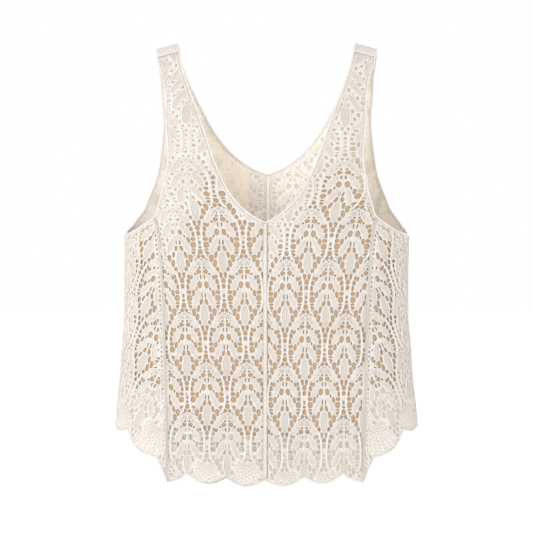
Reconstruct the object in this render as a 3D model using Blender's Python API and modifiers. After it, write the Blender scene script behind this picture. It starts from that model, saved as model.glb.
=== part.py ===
"""Crochet top: a sleeveless V-neck vest of openwork lace, hollow and filled out as it is worn.

+Z is up, the front faces -Y and +X is on the viewer's right. The origin is midway between the
two shoulder folds, at their height. Sizes are in millimetres until a mesh is made.

A place on the cloth is (across, down): the distance along the cloth from the centre line, and
the distance down the cloth from the shoulder fold. Shell.point() turns it into a place in space.
The pieces are drawn flat in these two numbers, for the half at +X, and are mirrored for the other.
"""
import math

import bmesh
import bpy
import numpy as np
from mathutils.geometry import delaunay_2d_cdt

MM = 0.001

# ---------------------------------------------------------------- cloth, cords and bands
WALL = 1.5                  # thickness of the lace
SEAM_GAP = 0.3              # between one piece and the next
CORD_RADIUS = 1.2           # corded edging of the neck, the armholes and the hem
EDGE_INSET = 2 * CORD_RADIUS + SEAM_GAP
CENTRE_BAND_WIDTH = 4.5     # lapped band on the centre seams
SEAM_BAND_WIDTH = 4.0       # raised band on the side-front, side-back and side seams
BAND_THICKNESS = 1.0
BAND_LIFT = 0.4             # clear space under a band
SEAM_STEP = 22.0            # length of one stretch of a seam
EDGE_STEP = 12.0            # and of the neck and the armholes
CLOSEST_POINTS = 2.0        # of an outline
LINING_THICKNESS = 1.0
LINING_DEPTH = 3.2          # middle of the lining behind the middle of the lace
LINING_COLUMNS, LINING_ROWS = 30, 4

# ---------------------------------------------------------------- the form
# Side profiles, from the shoulder fold down: how far forward or back, and the height.
FRONT_PROFILE = ((0, 0), (12, -2.5), (24, -11), (34, -25), (43, -45), (54, -72), (66, -105),
                 (79, -145), (90, -185), (96, -225), (98, -290), (97, -380), (100, -460), (104, -530))
BACK_PROFILE = ((0, 0), (12, -2.5), (24, -11), (34, -25), (45, -45), (58, -72), (70, -105),
                (80, -145), (85, -185), (84, -225), (80, -290), (80, -380), (86, -460), (92, -530))
# Half the width of the whole form, by height.
HALF_WIDTHS = ((0, 156), (-60, 158), (-120, 161), (-180, 164.5), (-224, 166), (-310, 166),
               (-350, 168), (-400, 171.5), (-450, 176.5), (-530, 180))
SECTION_POWER = 3.4         # of the superellipse round the body: flat front, turned sides
SHOULDER_SLOPE = 0.28       # the strap's top falls outwards
SHOULDER_INNER = 105.0      # where the strap's top is at height 0
SLOPE_FADE = 170.0          # down the cloth, where the slope has died out

# ---------------------------------------------------------------- outlines: (out from the centre, height)
NECK_FRONT = ((105, 0), (100.5, -17), (91, -49), (83.5, -68), (75, -92), (67, -115.5), (59, -139),
              (49, -162), (42.5, -174), (34, -185.5), (22.5, -197), (9, -206.5), (0, -210.5))
NECK_BACK = ((105, 0), (101.5, -17.5), (97.5, -31), (92.5, -45), (85.5, -59), (78.5, -73),
             (71.5, -87), (63, -101.5), (52.5, -116), (39, -130), (19, -144.5), (0, -152))
ARMHOLE_FRONT = ((131, -7), (127.5, -25), (122.5, -38.5), (118.5, -62), (117, -98), (114.5, -127),
                 (115, -145), (118, -160), (120.5, -176), (124.5, -189), (129, -203), (139, -211),
                 (151, -219), (162, -223.5), (166, -224.5))
ARMHOLE_BACK = ((131, -7), (130, -18), (127, -38), (126, -59), (124, -87), (125.5, -109),
                (127, -123), (129, -137), (131.5, -152), (136, -166), (142, -181), (147.5, -195),
                (158, -210), (163, -217), (166, -224.5))
FRONT_SEAM_LINE = ((129, -203), (123.5, -230), (118.5, -300), (115.5, -400), (113.5, -520))
BACK_SEAM_LINE = ((137, -168), (129, -203), (123, -235), (118.5, -300), (115.5, -400), (113.5, -520))
SEAM_HEADROOM = (60.0, -25.0)   # a seam line goes on like this past the armhole
# Points between scallops of the hem, and how far the scallop after each one bulges.
HEM_POINTS = ((0, -511.5, 7.0), (45, -508.5, 8.0), (91, -505.5, 15.0), (127.5, -485, 8.0),
              (160, -453, 4.0))
SIDE_SCALLOP_HALF = 25.0    # the last scallop is centred on the side seam
SIDE_SCALLOP_HEIGHT = -449.0
SIDE_SCALLOP_BULGE = 4.0
SCALLOP_STEPS = 6
LINING_TOP_FRONT = ((0, -221), (30, -205), (50, -182), (66, -166), (88, -160), (104, -170),
                    (116, -205), (132, -220), (150, -228), (166, -232))
LINING_TOP_BACK = ((0, -216), (90, -216), (125, -216), (150, -221), (166, -232))
LINING_FOOT = ((0, -460), (60, -453), (94, -441), (140, -417), (160, -412), (172, -411))
STRAP_SEAM = 27.0           # down the cloth, where the shoulder band is sewn to a panel

# ---------------------------------------------------------------- the lace
# Leaf sprays stand in upright rows. Each spray has a place called its apex, at the top.
COLUMN_PITCH = 24.4         # from one row of sprays to the next
REPEAT = 122.0              # from one spray to the next below it
LEAN = math.radians(1.9)    # the front and back panels' rows close in towards the hem
LEAN_CENTRE_HEIGHT = -330.0
CENTRE_APEX_HEIGHT = -314.6
SIDE_TURN = math.radians(25.0)      # of the side panels' lace
SIDE_LEAF = (136.4, -244.6)         # middle of a side panel's end leaf
END_LEAF_MIDDLE = 61.9              # down from the apex
# The largest gaps of a repeat: across and down from the apex, width, length, turn, corners.
GAPS = ((12.5, 58.4, 4.9, 9.3, 9.0, 6),
        (7.6, 105.3, 6.0, 5.4, 45.0, 4))
GAP_MARGIN = 3.2            # least cloth between a gap and the edge of its piece
OPEN_BELOW = -195.0         # above this height the lace is close, with no large gap
# Points inside a panel, which let it curve: their steps across and down.
CENTRE_GRID = (28.0, 40.0)
SIDE_GRID = (11.0, 30.0)
GRID_CLEAR = 5.0            # between such a point and a gap or an edge

COLOURS = {"lace": (0.86, 0.80, 0.71, 1.0), "cord": (0.90, 0.85, 0.78, 1.0),
           "lining": (0.62, 0.47, 0.33, 1.0)}


# ================================================================ curves in two numbers
def smooth(points, step):
    """A Catmull-Rom curve through the points, read about every step."""
    points = np.array(points, float)
    ends = np.vstack([2 * points[0] - points[1], points, 2 * points[-1] - points[-2]])
    curve = [points[:1]]
    for before, start, stop, after in zip(ends, ends[1:], ends[2:], ends[3:]):
        count = max(2, round(np.linalg.norm(stop - start) / step))
        t = np.linspace(0, 1, count + 1)[1:, None]
        curve.append(0.5 * (2 * start + (stop - before) * t
                            + (2 * before - 5 * start + 4 * stop - after) * t ** 2
                            + (3 * start - before - 3 * stop + after) * t ** 3))
    return np.vstack(curve)


def resample(curve, step):
    """The same curve with points evenly spaced, no further apart than step."""
    length = lengths(curve)
    even = np.linspace(0, length[-1], math.ceil(length[-1] / step) + 1)
    return np.column_stack([np.interp(even, length, curve[:, k]) for k in range(2)])


def lengths(curve):
    steps = np.linalg.norm(np.diff(curve, axis=0), axis=1)
    return np.concatenate([[0], np.cumsum(steps)])


def inset(curve, distance, before, after):
    """The curve moved to its left by distance; before and after are its neighbours' points."""
    ring = np.vstack([before, curve, after])
    ahead = np.diff(ring, axis=0)
    ahead /= np.linalg.norm(ahead, axis=1)[:, None]
    left = np.column_stack([-ahead[:, 1], ahead[:, 0]])
    mitre = left[:-1] + left[1:]
    mitre /= np.linalg.norm(mitre, axis=1)[:, None]
    stretch = np.maximum(np.einsum("ij,ij->i", mitre, left[1:]), 0.6)
    return curve + mitre * (distance / stretch)[:, None]


def cut(curve, value):
    """Split the curve where value(points) changes sign: the parts before and after."""
    side = value(curve)
    k = int(np.flatnonzero(np.sign(side[:-1]) != np.sign(side[1:]))[0])
    t = side[k] / (side[k] - side[k + 1])
    corner = curve[k] * (1 - t) + curve[k + 1] * t
    before, after = curve[:k + 1], curve[k + 1:]
    if np.linalg.norm(before[-1] - corner) < CLOSEST_POINTS:
        before = before[:-1]
    if np.linalg.norm(after[0] - corner) < CLOSEST_POINTS:
        after = after[1:]
    return np.vstack([before, corner]), np.vstack([corner, after])


def stretch_of(down_from, down_to, across):
    """Points down the cloth at even steps; across() gives their place across it."""
    down = np.linspace(down_from, down_to, round((down_to - down_from) / SEAM_STEP) + 1)
    return np.column_stack([across(down), down])


def inside(points, outline):
    """Which of the points are inside the closed outline."""
    x, y = points[:, 0:1], points[:, 1:2]
    x0, y0 = outline[:, 0], outline[:, 1]
    x1, y1 = np.roll(x0, -1), np.roll(y0, -1)
    spans = (y0 > y) != (y1 > y)
    rise = np.where(y1 == y0, 1.0, y1 - y0)
    return (spans & (x < (x1 - x0) * (y - y0) / rise + x0)).sum(axis=1) % 2 == 1


def clearance(points, outline):
    """The distance of each point from the closed outline."""
    start, along = outline, np.roll(outline, -1, axis=0) - outline
    offset = points[:, None, :] - start
    t = np.clip((offset * along).sum(-1) / (along ** 2).sum(-1), 0, 1)
    return np.linalg.norm(offset - t[..., None] * along, axis=-1).min(axis=1)


# ================================================================ the form in space
class Shell:
    """The middle surface of the front (facing -1) or of the back (facing +1)."""
    ROW_STEP, LAST_ROW = 3.0, 580.0
    COLUMN_STEP, LAST_COLUMN = 2.0, 290.0

    def __init__(self, profile, facing):
        fold = (-profile[1][0], profile[1][1])      # the profile goes on over the shoulder
        path = smooth((fold,) + profile, 2.0)
        path = path[np.argmin(np.hypot(*path.T)):]
        self.rows = np.arange(0, self.LAST_ROW, self.ROW_STEP)
        self.heights = np.interp(self.rows, lengths(path), path[:, 1])
        depths = np.maximum(np.interp(self.rows, lengths(path), path[:, 0]), 0.01)
        table = smooth(HALF_WIDTHS, 5.0)[::-1]
        widths = np.interp(self.heights, table[:, 0], table[:, 1])
        self.fades = 0.5 + 0.5 * np.cos(np.pi * np.minimum(self.rows / SLOPE_FADE, 1))
        angle = np.radians(np.linspace(0, 104, 1041))
        columns = np.arange(0, self.LAST_COLUMN, self.COLUMN_STEP)
        self.places = np.empty((len(self.rows), len(columns), 3))
        self.sides = np.empty(len(self.rows))
        for r, (depth, width) in enumerate(zip(depths, widths)):
            reach = (np.abs(np.sin(angle) / width) ** SECTION_POWER
                     + np.abs(np.cos(angle) / depth) ** SECTION_POWER) ** (-1 / SECTION_POWER)
            x = reach * np.sin(angle)
            y = facing * reach * np.cos(angle)
            z = self.heights[r] - SHOULDER_SLOPE * (x - SHOULDER_INNER) * self.fades[r]
            line = np.column_stack([x, y, z])
            across = np.concatenate([[0], np.cumsum(np.linalg.norm(np.diff(line, axis=0), axis=1))])
            self.sides[r] = np.interp(90, np.degrees(angle), across)
            for k in range(3):
                self.places[r, :, k] = np.interp(columns, across, line[:, k])

    def side(self, down):
        """How far across the side line is."""
        return np.interp(down, self.rows, self.sides)

    def middle(self, across, down):
        r = np.clip(down / self.ROW_STEP, 0, len(self.rows) - 1.001)
        c = np.clip(np.abs(across) / self.COLUMN_STEP, 0, self.places.shape[1] - 1.001)
        i, j = r.astype(int), c.astype(int)
        u, v = (r - i)[:, None], (c - j)[:, None]
        place = ((self.places[i, j] * (1 - v) + self.places[i, j + 1] * v) * (1 - u)
                 + (self.places[i + 1, j] * (1 - v) + self.places[i + 1, j + 1] * v) * u)
        place[:, 0] *= np.where(across < 0, -1, 1)
        return place

    def point(self, cloth, out=0.0, reach=2.0):
        """Places in space of points on the cloth, moved outwards by out."""
        across, down = np.asarray(cloth, float).T
        place = self.middle(across, down)
        if np.all(out == 0.0):
            return place
        right = self.middle(across + reach, down) - self.middle(across - reach, down)
        below = self.middle(across, down + reach) - self.middle(across, np.maximum(down - reach, 0))
        normal = np.cross(right, below)
        normal /= np.linalg.norm(normal, axis=1)[:, None]
        outwards = np.sign((normal * (place * [1, 1, 0])).sum(axis=1))
        return place + normal * (outwards * out)[:, None]

    def cloth(self, outline):
        """Points of the cloth under places (out from the centre, height) of the front view."""
        x, z = np.array(outline, float).T[:2]
        low, high = np.zeros(len(x)), np.full(len(x), self.LAST_ROW - self.ROW_STEP)
        for _ in range(40):
            down = (low + high) / 2
            height = (np.interp(down, self.rows, self.heights) - SHOULDER_SLOPE
                      * (x - SHOULDER_INNER) * np.interp(down, self.rows, self.fades))
            above = height > z
            low, high = np.where(above, down, low), np.where(above, high, down)
        left, right = np.zeros(len(x)), self.side(down)
        for _ in range(40):
            across = (left + right) / 2
            short = self.middle(across, down)[:, 0] < x
            left, right = np.where(short, across, left), np.where(short, right, across)
        return np.column_stack([across, down])


# ================================================================ the cut of one half of the garment
class Cut:
    """The edges and panels of the front or the back, flat, for the half at +X."""

    def __init__(self, profile, facing, neck, armhole, seam_line, lining_top):
        self.shell = Shell(profile, facing)
        flip = np.array([-1, 1])
        self.neck = resample(smooth(self.shell.cloth(neck), 3.0), EDGE_STEP)[::-1]
        self.neck[0, 0], self.neck[-1, 1] = 0.0, 0.0
        self.armhole = resample(smooth(self.shell.cloth(armhole), 3.0), EDGE_STEP)
        self.armhole[0, 1] = 0.0
        side = self.armhole[-1]
        side[0] = self.shell.side(side[1])
        self.hem = self.scallops()
        foot = self.hem[-1]
        foot[0] = self.shell.side(foot[1])
        self.beyond = {"neck": (self.neck[1] * flip, self.neck[-1] + (0, -5)),
                       "armhole": (self.armhole[0] + (0, -5),
                                   (2 * side[0] - self.armhole[-2, 0], self.armhole[-2, 1])),
                       "hem": (self.hem[1] * flip, (2 * foot[0] - self.hem[-2, 0], self.hem[-2, 1]))}
        seam = smooth(self.shell.cloth(seam_line), 3.0)
        self.seam_line = np.vstack([seam[0] + SEAM_HEADROOM, seam])
        self.lining_top = smooth(self.shell.cloth(lining_top), 3.0)
        self.lining_foot = smooth(self.shell.cloth(LINING_FOOT), 3.0)

    def scallops(self):
        """The hem from the centre seam to the side seam, a curved bulge between each two points."""
        points = self.shell.cloth(HEM_POINTS)
        bulges = [row[2] for row in HEM_POINTS]
        last = self.shell.cloth([(SHOULDER_INNER, SIDE_SCALLOP_HEIGHT)])[0, 1]
        side = self.shell.side(last)
        points = np.vstack([points, (side - SIDE_SCALLOP_HALF, last)])
        hem = [points[:1]]
        for start, stop, bulge in zip(points, points[1:], bulges):
            hem.append(self.scallop(start, stop, bulge)[1:])
        half = self.scallop(points[-1], (side + SIDE_SCALLOP_HALF, last), SIDE_SCALLOP_BULGE)
        hem.append(half[half[:, 0] < side + 0.1][1:])
        if hem[-1][-1, 0] < side - 0.1:
            hem.append([(side, last + SIDE_SCALLOP_BULGE)])
        return np.vstack(hem)

    @staticmethod
    def scallop(start, stop, bulge):
        start, stop = np.array(start), np.array(stop)
        t = np.linspace(0, 1, SCALLOP_STEPS + 1)[:, None]
        along = stop - start
        outwards = np.array([-along[1], along[0]]) / np.linalg.norm(along)
        return start + along * t + outwards * bulge * np.sin(np.pi * t) ** 0.8

    def edge(self, name, distance):
        """The neck, armhole or hem line, moved into the cloth."""
        inwards = {"neck": 1, "armhole": 1, "hem": -1}[name]
        before, after = self.beyond[name]
        return inset(getattr(self, name), inwards * distance, before, after)

    def seam(self, down):
        return np.interp(down, self.seam_line[:, 1], self.seam_line[:, 0])

    def off_seam(self, points):
        return points[:, 0] - self.seam(points[:, 1])

    def panels(self):
        """Outlines of the centre panel and of the side panel."""
        gap = np.array([SEAM_GAP / 2, 0])
        strap_seam = STRAP_SEAM + SEAM_GAP / 2
        neck = cut(self.edge("neck", EDGE_INSET), lambda points: points[:, 1] - strap_seam)[0]
        armhole = cut(self.edge("armhole", EDGE_INSET), lambda points: points[:, 1] - strap_seam)[1]
        strap_side, under_arm = cut(armhole, self.off_seam)
        centre_hem, side_hem = cut(self.edge("hem", EDGE_INSET), self.off_seam)
        middle = stretch_of(neck[0, 1], centre_hem[0, 1], lambda down: 0 * down)
        seam = stretch_of(strap_side[-1, 1], centre_hem[-1, 1], self.seam)
        side = stretch_of(under_arm[-1, 1], side_hem[-1, 1], self.shell.side)
        centre = np.vstack([middle + gap, centre_hem[1:-1], (seam - gap)[::-1],
                            strap_side[-2::-1], neck[:0:-1]])
        outer = np.vstack([seam + gap, side_hem[1:-1], (side - gap)[::-1], under_arm[-2:0:-1]])
        return centre, outer

    def shoulder_edges(self):
        """The strap's two edges, from the seam up to the fold."""
        seam = STRAP_SEAM - SEAM_GAP / 2
        inner = cut(self.edge("neck", EDGE_INSET), lambda points: points[:, 1] - seam)[1]
        outer = cut(self.edge("armhole", EDGE_INSET), lambda points: points[:, 1] - seam)[0]
        return inner, outer[::-1]


# ================================================================ the lace
def gap_shapes():
    """The gaps of one repeat about its apex: closed outlines with few corners."""
    shapes = []
    for across, down, width, length, turn, corners in GAPS:
        for hand in (1, -1):
            tilt = -hand * math.radians(turn)
            angle = np.arange(corners) * 2 * math.pi / corners + math.pi / 2
            x, y = np.cos(angle) * width / 2, np.sin(angle) * length / 2
            if corners == 4:
                x, y = x * math.sqrt(2), y * math.sqrt(2)
            else:
                x = x / math.cos(math.pi / corners)
            shapes.append(np.column_stack([hand * across + x * math.cos(tilt) - y * math.sin(tilt),
                                           down + x * math.sin(tilt) + y * math.cos(tilt)]))
    return shapes


def sprays(outline, apex, turn):
    """The apexes of every spray that may reach the outline."""
    cos, sin = math.cos(turn), math.sin(turn)
    low, high = outline.min(axis=0) - REPEAT, outline.max(axis=0) + REPEAT
    places = []
    for column in range(-16, 17):
        for row in range(-8, 9):
            across = column * COLUMN_PITCH
            down = (row + 0.5 * (column % 2)) * REPEAT
            place = np.array(apex) + (across * cos - down * sin, across * sin + down * cos)
            if np.all(place > low) and np.all(place < high):
                places.append(place)
    return places


def lace_gaps(outline, apex, turn, first_down):
    """The gaps that lie wholly in a panel, below the close lace of its upper part."""
    cos, sin = math.cos(turn), math.sin(turn)
    spin = np.array([[cos, sin], [-sin, cos]])
    gaps = []
    for place in sprays(outline, apex, turn):
        for shape in gap_shapes():
            gap = place + shape @ spin
            if gap[:, 1].min() < first_down:
                continue
            if inside(gap, outline).all() and clearance(gap, outline).min() > GAP_MARGIN:
                gaps.append(gap)
    return gaps


def fill(outline, gaps, steps):
    """Triangles over the outline that leave the gaps open, with points inside it to let it bend."""
    low, high = outline.min(axis=0), outline.max(axis=0)
    across, down = (np.arange(low[k], high[k], steps[k]) + steps[k] / 2 for k in range(2))
    grid = np.array([(a, d) for a in across for d in down])
    grid = grid[inside(grid, outline) & (clearance(grid, outline) > GRID_CLEAR)]
    for gap in gaps:
        grid = grid[~inside(grid, gap) & (clearance(grid, gap) > GRID_CLEAR / 2)]
    loops = [outline] + gaps
    points, edges, loop_of = [], [], []
    for number, loop in enumerate(loops):
        first = len(points)
        points += [tuple(point) for point in loop]
        edges += [(first + k, first + (k + 1) % len(loop)) for k in range(len(loop))]
        loop_of += [number] * len(loop)
    points += [tuple(point) for point in grid]
    loop_of += [-1] * len(grid)
    result = delaunay_2d_cdt(points, edges, [], 0, 1e-5)
    vertices = np.array([tuple(vertex) for vertex in result[0]])
    origin = [loop_of[source[0]] if source else -1 for source in result[3]]
    faces = []
    for face in result[2]:
        loop = {origin[corner] for corner in face}
        if len(loop) == 1 and loop.pop() > 0:
            continue
        if inside(vertices[list(face)].mean(axis=0)[None], outline)[0]:
            faces.append(tuple(face))
    return vertices, faces


# ================================================================ solids
def clear_scene():
    for item in list(bpy.data.objects):
        bpy.data.objects.remove(item, do_unlink=True)


def material(name):
    made = bpy.data.materials.get(name) or bpy.data.materials.new(name)
    made.use_nodes = True
    shader = made.node_tree.nodes["Principled BSDF"]
    shader.inputs["Base Color"].default_value = COLOURS[name]
    shader.inputs["Roughness"].default_value = 0.85
    shader.inputs["Metallic"].default_value = 0.0
    return made


def place(name, data, finish, group, root):
    piece = bpy.data.objects.new(name, data)
    group.objects.link(piece)
    piece.parent = root
    piece.data.materials.append(material(finish))
    return piece


def sheet(name, points, faces, thickness, finish, group, root):
    """An open surface through the points, given its thickness to both sides."""
    mesh = bpy.data.meshes.new(name)
    mesh.from_pydata([tuple(point * MM) for point in points], [], faces)
    draft = bmesh.new()
    draft.from_mesh(mesh)
    loose = [vertex for vertex in draft.verts if not vertex.link_faces]
    bmesh.ops.delete(draft, geom=loose, context="VERTS")
    bmesh.ops.recalc_face_normals(draft, faces=draft.faces)
    draft.to_mesh(mesh)
    draft.free()
    piece = place(name, mesh, finish, group, root)
    solidify = piece.modifiers.new("thickness", "SOLIDIFY")
    solidify.thickness = thickness * MM
    solidify.offset = 0.0
    return piece


def grid_faces(rows, columns):
    """Quads of a grid of points given row by row."""
    return [(r * columns + c, r * columns + c + 1, (r + 1) * columns + c + 1, (r + 1) * columns + c)
            for r in range(rows - 1) for c in range(columns - 1)]


def cord(name, points, group, root):
    """A closed cord through the points."""
    curve = bpy.data.curves.new(name, "CURVE")
    curve.dimensions = "3D"
    curve.bevel_depth = CORD_RADIUS * MM
    curve.bevel_resolution = 1
    line = curve.splines.new("POLY")
    line.points.add(len(points) - 1)
    for spot, point in zip(line.points, points):
        spot.co = (*(point * MM), 1.0)
    line.use_cyclic_u = True
    return place(name, curve, "cord", group, root)


def mirrored(points):
    return points * np.array([-1.0, 1.0, 1.0])


HANDS = (("right", 1.0), ("left", -1.0))


def build_panels(side_name, half, group, root):
    """The centre panel and the side panel of the front or the back, at each hand."""
    centre, outer = half.panels()
    shell = half.shell
    apex = shell.cloth([(0.01, CENTRE_APEX_HEIGHT)])[0]
    pivot = shell.cloth([(0.01, LEAN_CENTRE_HEIGHT)])[0]
    drop = apex[1] - pivot[1]
    apex = pivot + (-drop * math.sin(LEAN), drop * math.cos(LEAN))
    first_down = shell.cloth([(60, OPEN_BELOW)])[0, 1]
    leaf = shell.cloth([SIDE_LEAF])[0]
    side_apex = leaf - END_LEAF_MIDDLE * np.array([math.sin(SIDE_TURN), math.cos(SIDE_TURN)])
    cuts = ((f"{side_name}_panel", centre, apex, LEAN, CENTRE_GRID),
            (f"side_{side_name}_panel", outer, side_apex, -SIDE_TURN, SIDE_GRID))
    for name, outline, start, turn, steps in cuts:
        gaps = lace_gaps(outline, start, turn, first_down)
        flat, faces = fill(outline, gaps, steps)
        for hand, sign in HANDS:
            sheet(f"{name}_{hand}", shell.point(flat * (sign, 1)), faces, WALL, "lace", group, root)


def build_shoulder_bands(front, back, group, root):
    """The strap over the shoulder, from its seam on the front to its seam on the back."""
    rows = []
    for half, order in ((front, 1), (back, -1)):
        inner, outer = half.shoulder_edges()
        steps = np.linspace(0, 1, 5)
        ends = [np.column_stack([np.interp(steps, lengths(edge) / lengths(edge)[-1], edge[:, k])
                                 for k in range(2)]) for edge in (inner, outer)]
        part = [half.shell.point(a + (b - a) * np.linspace(0, 1, 4)[:, None]) for a, b in zip(*ends)]
        rows += part if order == 1 else part[::-1][1:]
    points = np.vstack(rows)
    for hand, sign in HANDS:
        sheet(f"shoulder_band_{hand}", points * (sign, 1, 1), grid_faces(len(rows), 4), WALL,
              "lace", group, root)


def band(name, lines, group, root):
    """A flat band on the cloth between two lines in space."""
    rows = len(lines[0])
    points = np.stack(lines, axis=1).reshape(-1, 3)
    sheet(name, points, grid_faces(rows, len(lines)), BAND_THICKNESS, "cord", group, root)


def build_seam_bands(front, back, group, root):
    out = WALL / 2 + BAND_LIFT + BAND_THICKNESS / 2
    for side_name, half in (("front", front), ("back", back)):
        centre, outer = half.panels()
        shell = half.shell
        top, bottom = centre[0, 1] + 0.5, half.edge("hem", EDGE_INSET)[0, 1] - 0.5
        down = np.linspace(top, bottom, round((bottom - top) / SEAM_STEP) + 1)
        lines = [shell.point(np.column_stack([np.full(len(down), x), down]), out)
                 for x in (-CENTRE_BAND_WIDTH / 2, CENTRE_BAND_WIDTH / 2)]
        band(f"{side_name}_centre_band", lines, group, root)
        armhole = cut(half.edge("armhole", EDGE_INSET), half.off_seam)[0][-1, 1] + 3.5
        foot = cut(half.edge("hem", EDGE_INSET), half.off_seam)[0][-1, 1] - 2.5
        down = np.linspace(armhole, foot, round((foot - armhole) / SEAM_STEP) + 1)
        for hand, sign in HANDS:
            lines = [shell.point(np.column_stack([sign * (half.seam(down) + x), down]), out)
                     for x in (-SEAM_BAND_WIDTH / 2, SEAM_BAND_WIDTH / 2)]
            band(f"side_{side_name}_seam_{hand}", lines, group, root)
    tops = [half.edge("armhole", EDGE_INSET)[-1, 1] + 0.5 for half in (front, back)]
    feet = [half.edge("hem", EDGE_INSET)[-1, 1] - 0.5 for half in (front, back)]
    count = round((feet[0] - tops[0]) / SEAM_STEP) + 1
    lines = []
    for half, top, foot in zip((front, back), tops, feet):
        down = np.linspace(top, foot, count)
        across = half.shell.side(down) - SEAM_BAND_WIDTH / 2
        lines.append(half.shell.point(np.column_stack([across, down]), out))
    for hand, sign in HANDS:
        band(f"side_seam_{hand}", [line * (sign, 1, 1) for line in lines], group, root)


def build_edgings(front, back, group, root):
    """Closed cords along the neck, each armhole and the hem, in the plane of the cloth."""
    def line(half, name):
        return half.shell.point(half.edge(name, CORD_RADIUS))
    neck = np.vstack([line(front, "neck"), line(back, "neck")[-2::-1]])
    cord("neck_edging", np.vstack([neck, mirrored(neck)[-2:0:-1]]), group, root)
    armhole = np.vstack([line(front, "armhole"), line(back, "armhole")[-2:0:-1]])
    for hand, sign in HANDS:
        cord(f"armhole_edging_{hand}", armhole * (sign, 1, 1), group, root)
    hem = np.vstack([line(front, "hem"), line(back, "hem")[-2::-1]])
    cord("hem_edging", np.vstack([hem, mirrored(hem)[-2:0:-1]]), group, root)


def build_lining(front, back, group, root):
    """A plain slip inside the lace, from below the neck to above the hem."""
    for side_name, half in (("front", front), ("back", back)):
        shell = half.shell
        share = np.linspace(-1, 1, LINING_COLUMNS + 1)
        rows = []
        for step in np.linspace(0, 1, LINING_ROWS + 1):
            top = half.lining_top[:, 0] / half.lining_top[-1, 0]
            foot = half.lining_foot[:, 0] / half.lining_foot[-1, 0]
            down = (np.interp(abs(share), top, half.lining_top[:, 1]) * (1 - step)
                    + np.interp(abs(share), foot, half.lining_foot[:, 1]) * step)
            across = share * (shell.side(down) - SEAM_GAP)
            rows.append(shell.point(np.column_stack([across, down]), -LINING_DEPTH))
        sheet(f"lining_{side_name}", np.vstack(rows), grid_faces(LINING_ROWS + 1, LINING_COLUMNS + 1),
              LINING_THICKNESS, "lining", group, root)


def main():
    clear_scene()
    group = bpy.data.collections.new("crochet_top")
    bpy.context.scene.collection.children.link(group)
    root = bpy.data.objects.new("crochet_top_origin", None)
    group.objects.link(root)
    front = Cut(FRONT_PROFILE, -1, NECK_FRONT, ARMHOLE_FRONT, FRONT_SEAM_LINE, LINING_TOP_FRONT)
    back = Cut(BACK_PROFILE, 1, NECK_BACK, ARMHOLE_BACK, BACK_SEAM_LINE, LINING_TOP_BACK)
    build_panels("front", front, group, root)
    build_panels("back", back, group, root)
    build_shoulder_bands(front, back, group, root)
    build_seam_bands(front, back, group, root)
    build_edgings(front, back, group, root)
    build_lining(front, back, group, root)


main()
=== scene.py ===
"""Crochet top, the looks: leaf lace, cords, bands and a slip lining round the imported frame.

+Z is up, the front faces -Y and +X is on the viewer's right. Sizes are in millimetres until a
mesh is made. A place on the cloth is (across, down): the distance along the cloth from the centre
line, and the distance down the cloth from the shoulder fold. Shell.point() turns it into a place
in space. The cut is the solids' own, drawn with finer steps.
"""
import math

import bmesh
import bpy
import numpy as np
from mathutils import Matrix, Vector
from mathutils.geometry import delaunay_2d_cdt


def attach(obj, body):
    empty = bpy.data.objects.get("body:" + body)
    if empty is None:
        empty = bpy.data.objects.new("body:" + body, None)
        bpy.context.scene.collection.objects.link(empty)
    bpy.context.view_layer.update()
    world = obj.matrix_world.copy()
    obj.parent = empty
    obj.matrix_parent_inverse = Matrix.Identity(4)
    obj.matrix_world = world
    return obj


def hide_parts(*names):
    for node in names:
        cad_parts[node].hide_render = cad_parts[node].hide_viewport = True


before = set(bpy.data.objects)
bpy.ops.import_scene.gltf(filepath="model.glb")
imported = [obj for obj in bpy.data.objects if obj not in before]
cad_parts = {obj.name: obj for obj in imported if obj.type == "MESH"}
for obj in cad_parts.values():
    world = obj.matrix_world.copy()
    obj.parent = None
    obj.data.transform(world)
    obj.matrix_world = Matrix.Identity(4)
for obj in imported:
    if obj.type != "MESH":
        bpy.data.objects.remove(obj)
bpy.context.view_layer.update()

MM = 0.001
SEED = 11

# ---------------- cloth, cords and bands
SEAM_GAP = 0.3              # between one piece and the next
EDGE_INSET = 1.5            # of the lace's own edge, which goes under the cord
SEAM_STEP = 6.0             # length of one stretch of a seam
EDGE_STEP = 4.0             # and of the neck and the armholes
CLOSEST_POINTS = 0.8        # of an outline
# Corded edging of the neck, the armholes and the hem: its radius, how soon its twist comes round,
# how much that swells it, its painted light and the painted shade and light that the twist adds,
# its corners and their step.
CORD_RADIUS, CORD_TWIST = 1.2, 2.4
CORD_SWELLS = {"neck": 0.04, "hem": 0.05, "armhole": 0.04}
CORD_PAINTED_LIGHT, CORD_PAINTED_SHADE = 0.84, 0.12
CORD_SIDES, CORD_STEP = 8, 0.75
# Bands: width, middle in front of the middle of the lace, thickness, lines down one, and step.
CENTRE_BAND_WIDTH = 4.5     # lapped band on the centre seams
SEAM_BAND_WIDTH = 4.0       # raised band on the side-front, side-back and side seams
SIDE_BAND_SHARE = 0.7       # of the side-front and side-back seams' width, which shows
BAND_OUT, SIDE_OUT = 1.35, 1.0
BAND_THICKNESS, BAND_LINES, BAND_STEP = 0.8, 9, 2.2
BAND_RISE, STITCH_RISE = 0.3, 0.12          # its ridges, and every other row of stitches
RIDGE_PLACE, RIDGE_WIDTH = 0.62, 0.25       # of the two ridges, as shares of half the width
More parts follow.
